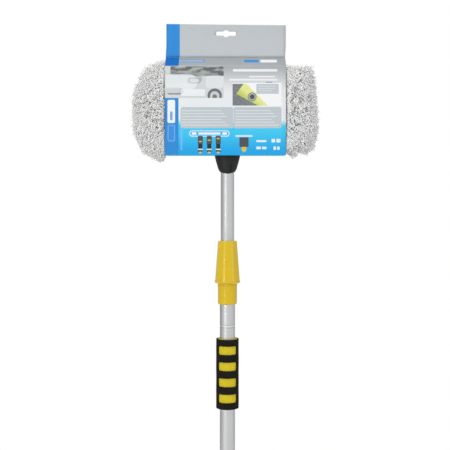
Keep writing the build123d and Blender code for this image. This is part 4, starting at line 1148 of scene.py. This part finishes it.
def faceYarns(rng):
    # Roots and tips in rows on the front and back, inside the outline, leaning outwards near its ends
    look = pileLook
    fields = []
    for step, low, high in look["faces"]:
        x, z = np.meshgrid(np.arange(low, high, step), np.arange(headLow[2] + 10, headHigh[2] - 10, step))
        x = (x + rng.uniform(-0.45, 0.45, x.shape) * step).ravel()
        z = (z + rng.uniform(-0.45, 0.45, z.shape) * step).ravel()
        overX = np.maximum(np.abs(x) - (halfWide - look["corner"]), 0)
        overZ = np.maximum(np.abs(z - headMiddle) - (halfTall - look["corner"]), 0)
        fits = np.hypot(overX, overZ) < look["corner"] - look["inset"] + 1
        fields.append(np.stack((x[fits], z[fits])))
    x, z = np.concatenate(fields, axis=1)
    leanX, leanZ = (look["faceLean"] * share ** 3 for share in (x / halfWide, (z - headMiddle) / halfTall))
    for way in (-1, 1):
        root, tip = (
            np.stack((x + lean * leanX, np.full(len(x), way * y), z + lean * leanZ), -1)
            for lean, y in ((0, look["facesFrom"]), (1, look["halfDepth"]))
        )
        yield root, tip


def makePile():
    look = pileLook
    rng = np.random.default_rng(look["seed"])
    root, tip = (np.concatenate(values) for values in zip(edgeYarns(rng), *faceYarns(rng)))
    # none where the socket's foot lies
    wide, deep, tall = look["footClear"]
    atFoot = (np.abs(root[:, 0]) < wide) & (np.abs(root[:, 1]) < deep) & (root[:, 2] < headLow[2] + tall)
    root, tip = root[~atFoot], tip[~atFoot]
    pull = np.interp(tip[:, 0], (-100, 90), look["pull"])
    lines, side = yarnPoints(rng, root, tip, look, towardsClump(rng, tip, pull))
    lines = insideCard(lines, look["radius"], look["cardSpread"])
    left, right, front = tip[:, 0] < look["leftTo"], tip[:, 0] > look["rightFrom"], tip[:, 1] < 0
    zones = ("Left", left, softYarn), ("Right", right, firmYarn), ("Middle", ~left & ~right, softYarn)
    for zone, chosen, yarn in zones:
        for face, shown in (("Front", chosen & front), ("Back", chosen & ~front)):
            yarnMesh("pile" + zone + face, rng, lines[shown], side[shown], look, yarn)
    # single fibres that stand off the yarn's tips, beside the card only
    for name, beside, share in (("fuzzLeft", left, fuzzLook["left"]), ("fuzzRight", right, fuzzLook["right"])):
        picked = rng.choice(np.flatnonzero(beside), int(beside.sum() * share))
        shift = rng.normal(0, fuzzLook["shift"], (len(picked), 3))
        hairs, side = yarnPoints(rng, root[picked] + shift, tip[picked] + shift, fuzzLook, 0 * shift)
        yarnMesh(name, rng, insideCard(hairs, 0.5), side, fuzzLook, softYarn)


makeBacking()
makePile()
print("pile made")

# Floor, world and lights; mirrored: what shiny surfaces mirror at each angle, from the back left over the front
stageLook = {
    "floorRadius": 1450.0, "floorHeight": -0.05, "floorTone": 0.86, "floorFade": (500.0, 1400.0),
    "worldLight": 0.66, "aim": (0, 0, 900),
    "mirrored": (
        (-180, 0.5), (-125, 0.4), (-80, 0.62), (-50, 0.88), (-30, 1.0), (-8, 0.84), (40, 0.8), (90, 0.72),
        (130, 0.5), (180, 0.5),
    ),
}
# name, place, width and height, power
lampLook = (
    ("keyLight", (-1150, -1500, 1500), (700, 1500), 13.0),
    ("fillLight", (1500, -1300, 1000), (1200, 1600), 6.0),
    ("topLight", (100, -300, 2300), (1400, 1000), 5.0),
    ("stripLight", (-1010, -1620, 800), (70, 800), 1.75),
)
radii = np.array([[1.0], [400.0], [900.0], [stageLook["floorRadius"]]])
floorFinish, tree, sockets = newMaterial("floorFinish", Roughness=0.9, Specular_IOR_Level=0.1)
plug(softTone(tree, (stageLook["floorTone"],) * 3, 2.0, 0.01)["Colour"], sockets["Base Color"])
x, y, _ = parts(objectPlace(tree))
away = times(calc("SQRT", plus(calc("POWER", x, 2.0), calc("POWER", y, 2.0))), 1 / mm)
cameraRay = newNode(tree, "LightPath").outputs["Is Camera Ray"]
seen = times(cameraRay, fromRange(away, *stageLook["floorFade"], 0.25, 1.0))
shaders = tree.nodes["Principled BSDF"].outputs[0], newNode(tree, "Emission").outputs[0]
plug(newNode(tree, "MixShader", seen, *shaders).outputs[0], tree.nodes["Material Output"].inputs["Surface"])
floorQuads = gridQuads(len(radii), len(fullTurn), closeColumns=True)
floorPoints = roundPole(radii, fullTurn, stageLook["floorHeight"])
makePiece("floor", floorPoints, floorQuads, [floorFinish])

world = bpy.data.worlds.new("studio")
bpy.context.scene.world = world
world.use_nodes = True
tree = world.node_tree
tree.nodes.clear()
x, y, _ = parts(newNode(tree, "TexCoord").outputs["Generated"])
rays = newNode(tree, "LightPath").outputs
turned = calc("ARCTAN2", x, times(y, -1.0))
curve = newNode(tree, "FloatCurve")
plug(fromRange(turned, -math.pi, math.pi, smooth=False), curve.inputs["Value"])
levels = stageLook["mirrored"]
points = curve.mapping.curves[0].points
points[0].location, points[1].location = (0, levels[0][1]), (1, levels[-1][1])
for degrees, level in levels[1:-1]:
    points.new((degrees + 180) / 360, level)
curve.mapping.update()
plain = stageLook["worldLight"]
shiny = calc("MAXIMUM", rays["Is Glossy Ray"], rays["Is Transmission Ray"])
level = plus(times(shiny, minus(curve.outputs[0], plain)), plain)
background = newNode(tree, "Background", (1.0, 1.0, 1.0), calc("MAXIMUM", level, rays["Is Camera Ray"]))
plug(background.outputs[0], newNode(tree, "OutputWorld").inputs["Surface"])

for name, place, size, power in lampLook:
    data = bpy.data.lights.new(name, "AREA")
    data.shape = "RECTANGLE"
    data.size, data.size_y = size[0] * mm, size[1] * mm
    data.energy = power
    lamp = addObject(name, data)
    lamp.location = [value * mm for value in place]
    aim = np.array(stageLook["aim"]) - np.array(place)
    tilt = math.acos(-aim[2] / np.linalg.norm(aim))
    lamp.rotation_euler = (tilt, 0, math.atan2(aim[1], aim[0]) - math.pi / 2)
    # only the strip shows as a reflection, and it lights nothing else
    lamp.visible_glossy, lamp.visible_diffuse = name == "stripLight", name != "stripLight"
bpy.context.scene.view_settings.view_transform = "Standard"
print("stage set")
